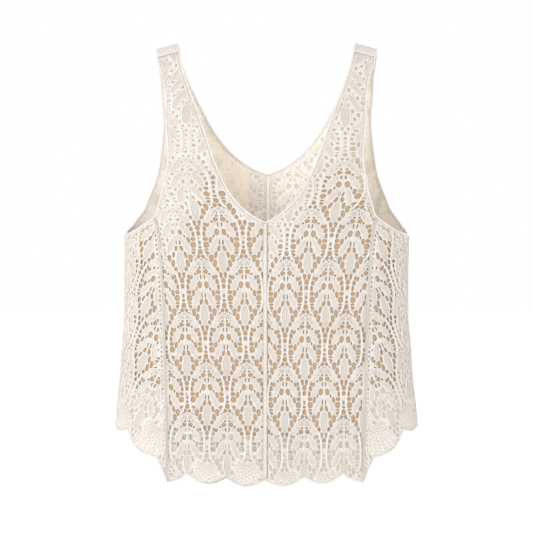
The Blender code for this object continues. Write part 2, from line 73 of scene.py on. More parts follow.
# Tapes along the centre seams: name, places across, how far out, rise, finish, and 1 on the back's
# inner side, painted pale there as painted light. Then the tape inside each side-back seam: places
# across, how far out, thickness.
CENTRE_TAPES = {
    "front": (("front_centre_seam_tape", (2.1, 2.7, 3.3), 0.62, 0.0, "lining", 0),),
    "back": (("back_centre_seam_inside", (-1.4, -0.4, 0.6, 1.6, 2.6), -1.1, 0.2, "lace", 1),
             ("back_centre_seam_tape", (2.9, 3.5, 4.1), -0.75, 0.0, "lining", 1))}
TAPE_THICKNESS = 0.5
SIDE_TAPE_PLACES, SIDE_TAPE_OUT, SIDE_TAPE_THICKNESS = np.linspace(-3, 3, 7), -0.5, 0.3
# Shoulder bands: rows to each side of the fold, and places across. Ribs across, waves and loops
# along. How far each stands out, and how wide the seam at each end is, as a share of the length.
STRAP_THICKNESS, STRAP_ROWS, STRAP_COLUMNS = 1.2, 15, 34
STRAP_RIBS, STRAP_WAVES, STRAP_WAVE, STRAP_LOOPS = 7, 6, 0.25, 9
STRAP_LUMPS, LUMP_STEP = 6, 3
RIB_RISE, LUMP_RISE, STRAP_SEAM_RISE = 0.3, 0.5, 0.7
STRAP_SEAM_PLACE, STRAP_SEAM_WIDTH = 0.02, 0.022
LINING_THICKNESS, LINING_ROWS, LINING_COLUMNS, LINING_LIGHT = 0.8, 45, 91, 0.7
LINING_DEPTH = 1.6          # middle of the lining behind the middle of the lace

# ---------------- the form, as the solids have it
FRONT_PROFILE = ((0, 0), (12, -2.5), (24, -11), (34, -25), (43, -45), (54, -72), (66, -105),
                 (79, -145), (90, -185), (96, -225), (98, -290), (97, -380), (100, -460),
                 (104, -530))
BACK_PROFILE = ((0, 0), (12, -2.5), (24, -11), (34, -25), (45, -45), (58, -72), (70, -105),
                (80, -145), (85, -185), (84, -225), (80, -290), (80, -380), (86, -460), (92, -530))
HALF_WIDTHS = ((0, 156), (-60, 158), (-120, 161), (-180, 164.5), (-224, 166), (-310, 166),
               (-350, 168), (-400, 171.5), (-450, 176.5), (-530, 180))
SECTION_POWER = 3.4         # of the superellipse that a level section follows
SHOULDER_SLOPE = 0.28       # how much the cloth falls outwards at the shoulder
SHOULDER_INNER = 105.0      # from this place on
SLOPE_FADE = 170.0          # and how far down the cloth the slope has gone
# Soft waves of the cloth: (out from the centre, height, half width, half length, outwards).
WAVES = ((44, -492, 24, 46, -4.0), (4, -470, 20, 60, 1.6), (-62, -480, 26, 60, 2.0),
         (-100, -455, 18, 70, -2.0), (88, -470, 18, 60, 2.0), (-150, -420, 22, 60, 1.5),
         (-88, -215, 26, 48, -1.6), (84, -190, 22, 46, -1.8), (120, -330, 16, 80, 1.2),
         (30, -300, 40, 70, 0.9), (-40, -330, 34, 70, -0.9), (150, -300, 20, 60, -1.4))

# ---------------- outlines: (from centre, height)
NECK_FRONT = ((105, 0), (100.5, -17), (91, -49), (83.5, -68), (75, -92), (67, -115.5), (59, -139),
              (49, -162), (42.5, -174), (34, -185.5), (22.5, -197), (9, -206.5), (0, -210.5))
NECK_BACK = ((105, 0), (101.5, -17.5), (97.5, -31), (92.5, -45), (85.5, -59), (78.5, -73),
             (71.5, -87), (63, -101.5), (52.5, -116), (39, -130), (19, -144.5), (0, -152))
ARMHOLE_FRONT = ((131, -7), (127.5, -25), (122.5, -38.5), (118.5, -62), (117, -98), (114.5, -127),
                 (115, -145), (118, -160), (120.5, -176), (124.5, -189), (129, -203), (139, -211),
                 (151, -219), (162, -223.5), (166, -224.5))
ARMHOLE_BACK = ((131, -7), (130, -18), (127, -38), (126, -59), (124, -87), (125.5, -109),
                (127, -123), (129, -137), (131.5, -152), (136, -166), (142, -181), (147.5, -195),
                (158, -210), (163, -217), (166, -224.5))
FRONT_SEAM_LINE = ((129, -203), (123.5, -230), (118.5, -300), (115.5, -400), (113.5, -520))
BACK_SEAM_LINE = ((137, -168), (129, -203), (123, -235), (118.5, -300), (115.5, -400),
                  (113.5, -520))
SEAM_HEADROOM = (60.0, -25.0)       # a seam line starts above the armhole, this much further
HEM_POINTS = ((0, -511.5, 8.0), (45, -507.5, 9.0), (90, -504.0, 2.0), (114.5, -514.0, -1.0),
              (127.5, -484.5, 8.0), (160, -453, 4.0))       # and the bulge from each to the next
SIDE_SCALLOP_HALF = 25.0
SIDE_SCALLOP_HEIGHT = -449.0
SIDE_SCALLOP_BULGE = 4.0
SCALLOP_STEPS = 14
LINING_TOP_FRONT = ((0, -217), (20, -206), (34, -194), (46, -176), (58, -152), (72, -140),
                    (92, -138), (106, -150), (112, -180), (120, -206), (132, -218), (150, -228),
                    (166, -232))
LINING_TOP_BACK = ((0, -216), (90, -216), (125, -216), (150, -221), (166, -232))
LINING_FOOT = ((0, -460), (60, -453), (94, -441), (140, -417), (160, -412), (172, -411))
STRAP_SEAM = 27.0           # how far down the cloth the shoulder band ends

# ---------------- the lace's repeat
COLUMN_PITCH = 24.4         # from one row of sprays to the next
REPEAT = 120.4              # from one spray to the next below it
# How the centre panels' lace hangs, by hand: how far below the reference spray's apex, and the
# height that it comes to. Then by height: how wide a column is.
LACE_HEIGHTS = {"left": ((-240.8, -78), (-180.6, -136), (-120.4, -193.7), (-60.2, -253.3),
                         (0, -315.8), (60.2, -374.4), (120.4, -431.9), (180.6, -489)),
                "right": ((-240.8, -82), (-180.6, -140), (-120.4, -196), (-60.2, -255.4),
                          (0, -317.6), (60.2, -378), (120.4, -439), (180.6, -500))}
LACE_LINE = 50.0            # place across where those heights are
LACE_BEYOND = 100.0         # and so much beyond them each way it hangs straight
COLUMN_WIDTHS = ((-530, 22.7), (-418, 22.7), (-366, 22.9), (-316, 23.4), (-285, 23.9),
                 (-258, 24.6), (-233, 25.4), (-196, 27.2), (-175, 30.0), (-130, 31.0))
# The left front's lace is drawn in to the centre seam near the hem: by height, how far. It fades
# with the distance from the centre.
DRAWN_IN, DRAWN_FADE = ((-530, 5.0), (-418, 5.0), (-366, 2.0), (-330, 0.0)), 45.0
# The side panels' lace is flat and turned, from where one end leaf's middle is in front.
SIDE_TURN = math.radians(25.0)
SIDE_LEAF, END_LEAF_MIDDLE = (136.4, -244.6), 63.3
# Gaps at both hands of a spray, from its apex: across, down, width, length, turn outwards, shape.
PAIRED_GAPS = ((4.0, 14.6, 3.8, 3.2, 0, "corner"), (1.9, 20.5, 1.2, 3.4, 0, "oval"),
               (4.1, 29.4, 3.3, 6.2, 8, "oval"), (8.1, 34.0, 1.2, 2.8, 15, "oval"),
               (12.0, 38.6, 2.4, 5.2, 12, "oval"), (1.7, 41.5, 1.2, 4.2, 0, "oval"),
               (3.0, 48.2, 2.2, 5.4, 20, "oval"), (7.0, 55.8, 2.2, 6.5, 14, "oval"),
               (12.5, 60.0, 4.3, 8.0, 10, "oval"), (8.7, 65.6, 2.9, 7.6, 4, "oval"),
               (6.0, 72.3, 2.4, 3.6, -8, "oval"), (2.8, 79.2, 2.8, 5.6, 0, "oval"),
               (10.1, 80.2, 4.4, 5.0, 0, "corner"), (7.5, 85.8, 2.5, 3.8, 0, "oval"),
               (6.2, 92.0, 1.8, 4.4, 0, "oval"), (7.0, 97.8, 4.0, 2.7, 0, "oval"),
               (7.3, 104.4, 4.4, 4.9, 0, "square"), (7.4, 110.0, 3.4, 1.5, 0, "oval"),
               (7.8, 113.4, 2.1, 3.4, 35, "oval"), (2.6, 118.0, 2.8, 2.8, 0, "corner"))
MIDDLE_GAPS = ((0, 84.0, 3.6, 5.2, 0, "oval"), (0, 91.1, 2.5, 3.4, 0, "oval"),
               (0, 96.5, 1.4, 2.9, 0, "oval"), (0, 101.6, 1.4, 3.1, 0, "oval"),
               (0, 107.0, 2.2, 1.8, 0, "oval"), (0, 112.6, 3.3, 4.0, 0, "oval"))
# Leaves: base, bend and tip, each across and down, half width, where widest, how pointed.
PAIRED_LEAVES = ((1.6, 0.6, 8.5, 7.2, 14.6, 19.3, 4.4, 1.08, 0.5),
                 (3.6, 17.6, 9.9, 23.8, 15.1, 36.4, 3.9, 1.05, 0.5),
                 (2.9, 35.4, 8.3, 41.6, 13.0, 56.3, 3.6, 1.05, 0.5))
END_LEAF = (0.0, 49.6, 0.0, 63.0, 0.0, 77.0, 6.0, 1.0, 0.72)
END_LEAF_LENGTHS = (1.0, 0.75, 0.5)     # the first whose last points fit above the hem
TIP_POINTS = 12
LEAF_STEPS = (0.0, 0.05, 0.14, 0.27, 0.41, 0.55, 0.69, 0.82, 0.92, 0.975, 1.0)
# Half of a leaf's section, from the middle to the edge: place across it, height, and painted light
# and shade.
PAIRED_RIBS = ((0.0, 0.5, 0.7), (0.14, 0.45, 0.62), (0.3, 0.0, 0.08), (0.54, 0.0, 0.08),
               (0.7, 1.0, 1.0), (0.88, 1.0, 1.0), (1.0, 0.4, 0.75))
END_RIBS = ((0.0, 0.55, 0.65), (0.2, 0.2, 0.3), (0.42, 0.55, 0.7), (0.6, 0.15, 0.2),
            (0.76, 1.0, 1.0), (0.91, 1.0, 1.0), (1.0, 0.4, 0.75))
LEAF_FOOT = 0.35            # a leaf's grooves, on each side of the middle of the lace
LEAF_RISE, LEAF_BACK_RISE = 1.15, 0.5   # and its rims above that, outside and inside
# The two rails of a ladder, from beside an end leaf to round the next spray's first leaves.
RAIL = ((6.8, 74.5), (5.6, 78.6), (4.6, 82.5), (3.8, 87.5), (3.3, 93.0), (3.1, 98.5), (3.1, 105.0),
        (3.3, 109.5), (3.9, 113.2), (5.0, 116.4), (6.8, 119.2), (9.4, 121.8))
RAIL_OVER_FAN = 9           # its points that stay where the next spray is a fan
RAIL_RADIUS, RAIL_SMOOTHNESS = 1.4, 2.0
STEM, STEM_RADIUS = ((0.7, 2.0), (0.7, 26.0), (0.7, 50.0)), 0.65
CORD_OUT = 0.45             # middle of a rail or a stem in front of the middle of the lace
RIDGE_STEP = 2.6            # between its rings, whose corners are at these angles, and their painted light, shaded below
RIDGE_ANGLES, RIDGE_PAINTED_LIGHTS = (-20, 40, 90, 140, 200, 270), (0.4, 1.0, 1.0, 1.0, 0.4, 0.4)
# Cords along the panels' own edges: the edge, how far in from it, and radius.
EDGE_CORDS = (("neck", 4.7, 0.75), ("armhole", 4.4, 0.6))

# ---------------- how the repeat's gaps grow
SMALL_GAP, LARGE_GAP = 2.6, 5.2     # below and above these a gap has fewer and more corners
GROWTH_START, GROWTH = 0.6, 1.5     # a gap's share of the charted size, before and at most after
GROWTH_STEP, GROWTH_ROUNDS = 0.15, 14
MOST_POINTED = 1.2          # how much further out than the last corner a corner may be
BAR = 1.05                  # of yarn between two gaps' openings
LEAF_LAP = 0.35             # how far a gap's opening may go under a leaf's or a cord's edge
NEAR_LEAF, NEAR_CORD, NEAR_GAP = 24.0, 14.0, 15.0      # no farther pieces are looked at
# Gaps added where there is room: grid, least radius, the most of them, and how far one grows.
FILL_GRID, LEAST_FILLER, MOST_FILLERS = 0.4, 0.8, 14
FILLER_GROWTH, FILLER_ROUNDS, NEAR_FILLER = 2.6, 5, 9.0

# ---------------- the net and its gaps
NET_OUT = 0.5               # the net's two faces, from the middle of the lace
NET_PAINTED_LIGHT, LIP_PAINTED_HIGHLIGHT = 0.55, 0.9        # its painted light and shade, and the painted highlight where it meets a gap's lip
LIP = 0.33                  # width of the rounded lip round a gap
LEAST_SPOKE = 0.35          # and the share of a gap's radius that it leaves at least
OUTER_LIP = 0.12            # of the lip round the panel
LEAST_BAR = 0.34            # of net between the lips of two gaps
GAP_MARGIN = 1.1            # least net between a gap's lip and the edge of its piece
NECK_MARGIN = 2.0           # and the neck, where a cord runs
LEAST_GAP = 0.75            # a narrower gap is left out
MOST_GAPS = 4000            # in one panel
NET_GRID, GRID_CLEAR = 7.0, 1.5         # points inside the net, where it has no gap
# The gaps' share of the charted size, by how far below the shoulders they are.
FRONT_SHARES = ((190, 0.95), (210, 1.0), (530, 1.0))
BACK_SHARES = ((20, 0.8), (205, 0.95), (235, 1.0), (530, 0.95))
SIDE_SHARES = ((135, 1.0), (155, 0.85))     # and of that, in front towards the side seam
# The front's close lace on the chest, by hand: it starts at this height at this place across, and
# that rises so much for each step to the right. Then by the height above its start: the share.
CLOSE_LACE = {"left": (-175.0, -70.0, 1.8), "right": (-185.0, 60.0, 1.45)}
CLOSE_SHARES = ((-25, 1.0), (0, 0.82), (30, 0.64), (110, 0.46))
# Where the lace is close or has no lining behind it, it has pits for gaps.
CLOSE_PITS = 10.0           # on the chest from so far above the close lace's start
LINING_CLEAR = 4.0          # in front from so far below the lining's top
FRONT_FOOT, SIDE_PITS = -405.0, 152.0       # on the front's side panels below, and farther out
BACK_FOOT, BACK_HEAD = -403.0, -220.0       # on the back below, and above
HEM_BORDER = 15.0           # so near to the hem
# How light a pit's floor is painted, from 0 to 1, or less than 0 where it is as tan as the lining:
# painted shade of the inside seen through a gap, by the height above the lining's top in front, and
# fading from tan to dark painted shade below the back's lining.
PALE_PIT, FAINT_PIT, DARK_PIT, TAN_PIT = 0.3, 0.4, 0.3, -0.5
TAN_SHADES, TAN_FADE = ((0, -0.8), (30, -0.5), (100, -0.1)), 50.0
PIT = 0.15                  # half the thickness of the floor
# The back's inner side shows its lace between these places across, and is plain beyond them above
# this height. It has beige painted warm light there too, and on the left at any height from this
# place on.
LACE_INSIDE, PLAIN_HEIGHT, WARM_LIGHT_START = (-23.0, 80.0), -235.0, -100.0
PLAIN_RISE = 0.1            # of the net's inner face over its leaves there
# Small gaps in what would be plain net, below this height: width and length, their grid, how far a
# place may stray, how far from leaves and cords they keep, and from the panel's edge and the neck.
SLIT, SLIT_TOP, SLIT_PITCH, SLIT_STRAY = (1.2, 2.4), -200.0, (3.5, 4.3), 0.35
SLIT_CLEAR, SLIT_MARGIN, SLIT_NECK_MARGIN = 1.9, 3.0, 3.5
# A fan takes a spray's place where the apex is nearer to the hem than its reach: its rays, where
# they start from a middle so far above the apex, and the pitch of the gaps between them.
FAN_RAYS, FAN_TURN, FAN_RAY_RADIUS = 13, math.radians(118), 0.5
FAN_START, FAN_HEIGHT, FAN_PITCH, FAN_MARGIN = 8.0, -7.0, 4.4, 3.4
FAN_REACH, FAN_BEYOND, FAN_SPREAD = 46.0, 10.0, 15.0
FAN_GAP = (0.5, 0.035, 2.3)     # width, its gain with the distance from the fan's centre, length
SEAM_LADDER = (3.9, 1.5, 3.1, 5.4)      # from the seam line, gap's width and length, pitch
SEAM_LADDER_ENDS = (22.0, 14.0)         # how far from the panel's top and foot it ends

# ---------------- the studio, in metres
CAMERA_DISTANCE = 5.0
CAMERA_AZIMUTH = math.radians(0.9)
CAMERA_HEIGHT = -0.2626
FRAME_WIDTH = 0.6289        # what the frame spans at the garment
SENSOR_WIDTH = 36.0
FLOOR_HEIGHT, FLOOR_REACH = -0.62, 30.0
FLOOR_GREY, FLOOR_GLOW = 0.93, 0.12
# Lamps: name, place, what it is aimed at, size, power and colour. Two small ones are inside the
# garment and light the back's inner side.
GARMENT_MIDDLE = (0, 0, -0.26)
LAMPS = (("key", (-1.3, -4.4, 0.25), GARMENT_MIDDLE, 1.3, 95.0, (1.0, 0.99, 0.99)),
         ("left", (-3.0, -0.6, -0.1), GARMENT_MIDDLE, 1.2, 15.5, (1.0, 0.99, 0.98)),
         ("right", (3.0, -0.6, -0.1), GARMENT_MIDDLE, 1.2, 12.5, (1.0, 0.97, 0.93)),
         ("back", (2.2, 4.2, 0.4), GARMENT_MIDDLE, 1.3, 85.0, (1.0, 0.99, 0.98)),
         ("through_the_hem", (0, -0.01, -0.47), (0, 0.99, -0.47), 0.12, 0.02, (1.0, 0.98, 0.95)),
         ("through_the_neck", (0, -0.01, -0.15), (0, 0.99, -0.15), 0.16, 0.05, (1.0, 0.96, 0.9)))


# ================ tables and curves in two numbers
def read(table, value):
    """The second column of a table at a value of its first."""
    return np.interp(value, *np.array(table, float).T)


def norm(rows):
    """The length of each row."""
    return np.linalg.norm(rows, axis=-1)


def unit(rows):
    """The same rows, each with length 1."""
    return rows / norm(rows)[..., None]


def turned(points, angle):
    """Points turned about the origin."""
    cos, sin = math.cos(angle), math.sin(angle)
    return points @ np.array([[cos, sin], [-sin, cos]])


def smooth(points, step):
    """A Catmull-Rom curve through the points, read about every step."""
    points = np.array(points, float)
    ends = np.vstack([2 * points[0] - points[1], points, 2 * points[-1] - points[-2]])
    curve = [points[:1]]
    for before, start, stop, after in zip(ends, ends[1:], ends[2:], ends[3:]):
        count = max(2, round(norm(stop - start) / step))
        t = np.linspace(0, 1, count + 1)[1:, None]
        curve.append(0.5 * (2 * start + (stop - before) * t
                            + (2 * before - 5 * start + 4 * stop - after) * t ** 2
                            + (3 * start - before - 3 * stop + after) * t ** 3))
    return np.vstack(curve)


def lengths(curve):
    """How far along the curve each of its points is."""
    return np.concatenate([[0], np.cumsum(norm(np.diff(curve, axis=0)))])


def points_at(places, along, curve):
    """A curve's points at places along it, given how far along its own points are."""
    return np.column_stack([np.interp(places, along, column) for column in curve.T])


def resample(curve, step):
    """The same curve with points evenly spaced, no further apart than step."""
    length = lengths(curve)
    even = np.linspace(0, length[-1], math.ceil(length[-1] / step) + 1)
    return points_at(even, length, curve)


def inset(curve, distance, before, after):
    """The curve moved to its left by distance; before and after are its neighbours' points."""
    ring = np.vstack([before, curve, after])
    ahead = unit(np.diff(ring, axis=0))
    left = np.column_stack([-ahead[:, 1], ahead[:, 0]])
    mitre = unit(left[:-1] + left[1:])
    stretch = np.maximum(np.einsum("ij,ij->i", mitre, left[1:]), 0.6)
    return curve + mitre * (distance / stretch)[:, None]


def cut(curve, value):
    """Split the curve where value(points) changes sign: the parts before and after."""
    side = value(curve)
    k = int(np.flatnonzero(np.sign(side[:-1]) != np.sign(side[1:]))[0])
    t = side[k] / (side[k] - side[k + 1])
    corner = curve[k] * (1 - t) + curve[k + 1] * t
    before, after = curve[:k + 1], curve[k + 1:]
    if norm(before[-1] - corner) < CLOSEST_POINTS:
        before = before[:-1]
    if norm(after[0] - corner) < CLOSEST_POINTS:
        after = after[1:]
    return np.vstack([before, corner]), np.vstack([corner, after])


def stretch_of(down_from, down_to, across):
    """Points down the cloth at even steps; across() gives their place across it."""
    down = np.linspace(down_from, down_to, round((down_to - down_from) / SEAM_STEP) + 1)
    return np.column_stack([across(down), down])


def inside(points, outline):
    """Which of the points are inside the closed outline."""
    x, y = points[:, 0:1], points[:, 1:2]
    x0, y0 = outline[:, 0], outline[:, 1]
    x1, y1 = np.roll(x0, -1), np.roll(y0, -1)
    spans = (y0 > y) != (y1 > y)
    rise = np.where(y1 == y0, 1.0, y1 - y0)
    return (spans & (x < (x1 - x0) * (y - y0) / rise + x0)).sum(axis=1) % 2 == 1


def nearest(points, outline):
    """The nearest place on the closed outline to each point, and the edge it is on."""
    along = np.roll(outline, -1, axis=0) - outline
    offset = points[:, None, :] - outline
    t = np.clip((offset * along).sum(-1) / (along ** 2).sum(-1), 0, 1)
    away = norm(offset - t[..., None] * along)
    edge = away.argmin(axis=1)
    here = np.arange(len(points))
    return outline[edge] + t[here, edge][:, None] * along[edge], edge, away[here, edge]


def depth_inside(points, outline):
    """How far each point is inside the closed outline, less than 0 outside it."""
    away = nearest(points, outline)[2]
    return np.where(inside(points, outline), away, -away)


def apart(points, others):
    """How far each point is from the nearest of the others."""
    return norm(points[:, None] - others[None]).min(axis=1)


def clear_of(points, shapes, distance, away=lambda points, ring: -depth_inside(points, ring)):
    """The points that are outside every ring or other shape, and not nearer than distance."""
    for shape in shapes:
        middle = shape.mean(axis=0)
        reach = norm(shape - middle).max() + distance
        near = np.flatnonzero(norm(points - middle) < reach)
        if len(near):
            points = np.delete(points, near[away(points[near], shape) < distance], axis=0)
    return points


def area(outline):
    """The area that a closed outline holds, less than 0 if it runs the other way."""
    x, y = outline.T
    return 0.5 * float(np.dot(x, np.roll(y, -1)) - np.dot(y, np.roll(x, -1)))


def hold_inside(points, outline, margin):
    """The points, those outside moved in until they are margin inside the outline."""
    place, edge, away = nearest(points, outline)
    depth = np.where(inside(points, outline), away, -away)
    along = np.roll(outline, -1, axis=0) - outline
    inwards = unit(np.column_stack([-along[:, 1], along[:, 0]])) * np.sign(area(outline))
    return np.where((depth < margin)[:, None], place + inwards[edge] * margin, points), depth


# ================ the form in space
class Shell:
    """The middle surface of the front (facing -1) or of the back (facing +1)."""
    ROW_STEP, LAST_ROW = 3.0, 580.0
    COLUMN_STEP, LAST_COLUMN = 2.0, 290.0

    def __init__(self, profile, facing):
        fold = (-profile[1][0], profile[1][1])
        path = smooth((fold,) + profile, 2.0)
        path = path[np.argmin(np.hypot(*path.T)):]
        self.facing = facing
        self.rows = np.arange(0, self.LAST_ROW, self.ROW_STEP)
        self.heights = np.interp(self.rows, lengths(path), path[:, 1])
        depths = np.maximum(np.interp(self.rows, lengths(path), path[:, 0]), 0.01)
        table = smooth(HALF_WIDTHS, 5.0)[::-1]
        widths = np.interp(self.heights, table[:, 0], table[:, 1])
        self.fades = 0.5 + 0.5 * np.cos(np.pi * np.minimum(self.rows / SLOPE_FADE, 1))
        angle = np.radians(np.linspace(0, 104, 1041))
        columns = np.arange(0, self.LAST_COLUMN, self.COLUMN_STEP)
        self.places = np.empty((len(self.rows), len(columns), 3))
        self.sides = np.empty(len(self.rows))
        for r, (depth, width) in enumerate(zip(depths, widths)):
            reach = (np.abs(np.sin(angle) / width) ** SECTION_POWER
                     + np.abs(np.cos(angle) / depth) ** SECTION_POWER) ** (-1 / SECTION_POWER)
            x = reach * np.sin(angle)
            y = facing * reach * np.cos(angle)
            z = self.heights[r] - SHOULDER_SLOPE * (x - SHOULDER_INNER) * self.fades[r]
            line = np.column_stack([x, y, z])
            across = lengths(line)
            self.sides[r] = np.interp(90, np.degrees(angle), across)
            self.places[r] = points_at(columns, across, line)

    def side(self, down):
        """How far across the side line is."""
        return np.interp(down, self.rows, self.sides)

    def middle(self, across, down):
        """Places in space of points on the cloth, before its waves."""
        r = np.clip(down / self.ROW_STEP, 0, len(self.rows) - 1.001)
        c = np.clip(np.abs(across) / self.COLUMN_STEP, 0, self.places.shape[1] - 1.001)
        i, j = r.astype(int), c.astype(int)
        u, v = (r - i)[:, None], (c - j)[:, None]
        place = ((self.places[i, j] * (1 - v) + self.places[i, j + 1] * v) * (1 - u)
                 + (self.places[i + 1, j] * (1 - v) + self.places[i + 1, j + 1] * v) * u)
        place[:, 0] *= np.where(across < 0, -1, 1)
        return place

    def wave(self, place):
        """How far the cloth's soft waves stand out, or in, at places in space."""
        rise = np.zeros(len(place))
        for x, z, half_width, half_length, out in WAVES:
            rise += out * np.exp(-((place[:, 0] - x) / half_width) ** 2
                                 - ((place[:, 2] - z) / half_length) ** 2)
        return rise

    def point(self, cloth, out=0.0, reach=2.0):
        """Places in space of points on the cloth, moved outwards by out."""
        across, down = np.asarray(cloth, float).T
        place = self.middle(across, down)
        right = self.middle(across + reach, down) - self.middle(across - reach, down)
        below = self.middle(across, down + reach) - self.middle(across, np.maximum(down - reach, 0))
        normal = unit(np.cross(right, below))
        outwards = np.sign((normal * (place * [1, 1, 0])).sum(axis=1))
        return place + normal * (outwards * (out + self.wave(place)))[:, None]

    def cloth(self, outline):
        """Points of the cloth under places (out from the centre, height) of the front view."""
        x, z = np.array(outline, float).T[:2]
        low, high = np.zeros(len(x)), np.full(len(x), self.LAST_ROW - self.ROW_STEP)
        for _ in range(40):
            down = (low + high) / 2
            height = (np.interp(down, self.rows, self.heights) - SHOULDER_SLOPE
                      * (x - SHOULDER_INNER) * np.interp(down, self.rows, self.fades))
            above = height > z
            low, high = np.where(above, down, low), np.where(above, high, down)
        left, right = np.zeros(len(x)), self.side(down)
        for _ in range(40):
            across = (left + right) / 2
            short = self.middle(across, down)[:, 0] < x
            left, right = np.where(short, across, left), np.where(short, right, across)
        return np.column_stack([across, down])


# ================ the cut of half the garment
class Cut:
    """The edges and panels of the front or the back, flat, for the half at +X."""

    def __init__(self, profile, facing, neck, armhole, seam_line, lining_top):
        self.shell = Shell(profile, facing)
        flip = np.array([-1, 1])
        self.neck = resample(smooth(self.shell.cloth(neck), 3.0), EDGE_STEP)[::-1]
        self.neck[0, 0], self.neck[-1, 1] = 0.0, 0.0
        self.armhole = resample(smooth(self.shell.cloth(armhole), 3.0), EDGE_STEP)
        self.armhole[0, 1] = 0.0
        side = self.armhole[-1]
        side[0] = self.shell.side(side[1])
        self.hem = self.scallops()
        foot = self.hem[-1]
        foot[0] = self.shell.side(foot[1])
        beyond_side, beyond_foot = ((2 * line[-1, 0] - line[-2, 0], line[-2, 1])
                                    for line in (self.armhole, self.hem))
        self.beyond = {"neck": (self.neck[1] * flip, self.neck[-1] + (0, -5)),
                       "armhole": (self.armhole[0] + (0, -5), beyond_side),
                       "hem": (self.hem[1] * flip, beyond_foot)}
        seam = smooth(self.shell.cloth(seam_line), 3.0)
        self.seam_line = np.vstack([seam[0] + SEAM_HEADROOM, seam])
        self.lining_top = smooth(self.shell.cloth(lining_top), 3.0)
        self.lining_foot = smooth(self.shell.cloth(LINING_FOOT), 3.0)

    def scallops(self):
        """The hem from the centre seam to the side seam, a curved bulge between each two points."""
        points = self.shell.cloth(HEM_POINTS)
        bulges = [row[2] for row in HEM_POINTS]
        last = self.shell.cloth([(SHOULDER_INNER, SIDE_SCALLOP_HEIGHT)])[0, 1]
        side = self.shell.side(last)
        points = np.vstack([points, (side - SIDE_SCALLOP_HALF, last)])
        hem = [points[:1]]
        for start, stop, bulge in zip(points, points[1:], bulges):
            hem.append(self.scallop(start, stop, bulge)[1:])
        half = self.scallop(points[-1], (side + SIDE_SCALLOP_HALF, last), SIDE_SCALLOP_BULGE)
        hem.append(half[half[:, 0] < side + 0.1][1:])
        if hem[-1][-1, 0] < side - 0.1:
            hem.append([(side, last + SIDE_SCALLOP_BULGE)])
        return np.vstack(hem)

    @staticmethod
    def scallop(start, stop, bulge):
        """Points of one bulge of the hem."""
        start, stop = np.array(start), np.array(stop)
        t = np.linspace(0, 1, SCALLOP_STEPS + 1)[:, None]
        along = stop - start
        outwards = np.array([-along[1], along[0]]) / norm(along)
        return start + along * t + outwards * bulge * np.sin(np.pi * t) ** 0.95

    def edge(self, name, distance):
        """The neck, armhole or hem line, moved into the cloth."""
        inwards = {"neck": 1, "armhole": 1, "hem": -1}[name]
        before, after = self.beyond[name]
        return inset(getattr(self, name), inwards * distance, before, after)

    def seam(self, down):
        """How far across the seam between the centre and side panels is."""
        return np.interp(down, self.seam_line[:, 1], self.seam_line[:, 0])

    def off_seam(self, points):
        """How far outside that seam points are."""
        return points[:, 0] - self.seam(points[:, 1])

    def panels(self):
        """Outlines of the centre panel and of the side panel."""
        lap = SEAM_GAP / 2
        gap = np.array([lap, 0])
        strap_seam = STRAP_SEAM + lap
        neck = cut(self.edge("neck", EDGE_INSET), lambda points: points[:, 1] - strap_seam)[0]
        armhole = cut(self.edge("armhole", EDGE_INSET), lambda points: points[:, 1] - strap_seam)[1]
        strap_side, under_arm = cut(armhole, self.off_seam)
        centre_hem, side_hem = cut(self.edge("hem", EDGE_INSET), self.off_seam)
        middle = stretch_of(neck[0, 1], centre_hem[0, 1], lambda down: 0 * down + lap)
        seam = stretch_of(strap_side[-1, 1], centre_hem[-1, 1], self.seam)
        side = stretch_of(under_arm[-1, 1], side_hem[-1, 1], self.shell.side)
        neck = neck[np.concatenate([[True], neck[1:, 0] > lap + 0.5])]
        centre_hem = centre_hem[np.concatenate([[True], centre_hem[1:, 0] > lap + 0.5])]
        centre = np.vstack([middle, centre_hem[1:-1], (seam - gap)[::-1],
                            strap_side[-2::-1], neck[:0:-1]])
        outer = np.vstack([seam + gap, side_hem[1:-1], (side - gap)[::-1], under_arm[-2:0:-1]])
        return centre, outer

    def shoulder_edges(self):
        """The strap's two edges, from the seam up to the fold."""
        seam = STRAP_SEAM - SEAM_GAP / 2
        inner = cut(self.edge("neck", EDGE_INSET), lambda points: points[:, 1] - seam)[1]
        outer = cut(self.edge("armhole", EDGE_INSET), lambda points: points[:, 1] - seam)[0]
        return inner, outer[::-1]


# ================ meshes in the making
class Draft:
    """Points on the cloth, how far out each is, its painted light and shade, and the faces between.
    """

    def __init__(self):
        self.flat, self.out, self.relief, self.faces, self.count = [], [], [], [], 0

    def add(self, flat, out, relief, faces):
        """More points, and faces between them, numbered from the first of them."""
        first = self.count
        self.flat.append(np.asarray(flat, float))
        self.out.append(np.broadcast_to(np.asarray(out, float), len(flat)))
        self.relief.append(np.broadcast_to(np.asarray(relief, float), len(flat)))
        self.faces += [tuple(first + corner for corner in face) for face in faces]
        self.count += len(flat)

    def build(self, name, shell, sign, finish):
        """The mesh object, laid on the cloth at the hand that sign says."""
        flat, out = np.vstack(self.flat) * (sign, 1), np.concatenate(self.out)
        points = shell.point(flat, out)
        x, _, z = points.T
        # beige painted warm light on parts of the back's inner side; the rest of that side is
        # painted pale as painted light
        painted_warm_light = ((z > PLAIN_HEIGHT) & (x > LACE_INSIDE[1])
                 | (x > WARM_LIGHT_START) & (x < LACE_INSIDE[0]))
        inner = (out < 0) * (1.0 + painted_warm_light) if shell.facing > 0 else 0.0
        return make(name, points, self.faces, np.concatenate(self.relief), finish, inner)


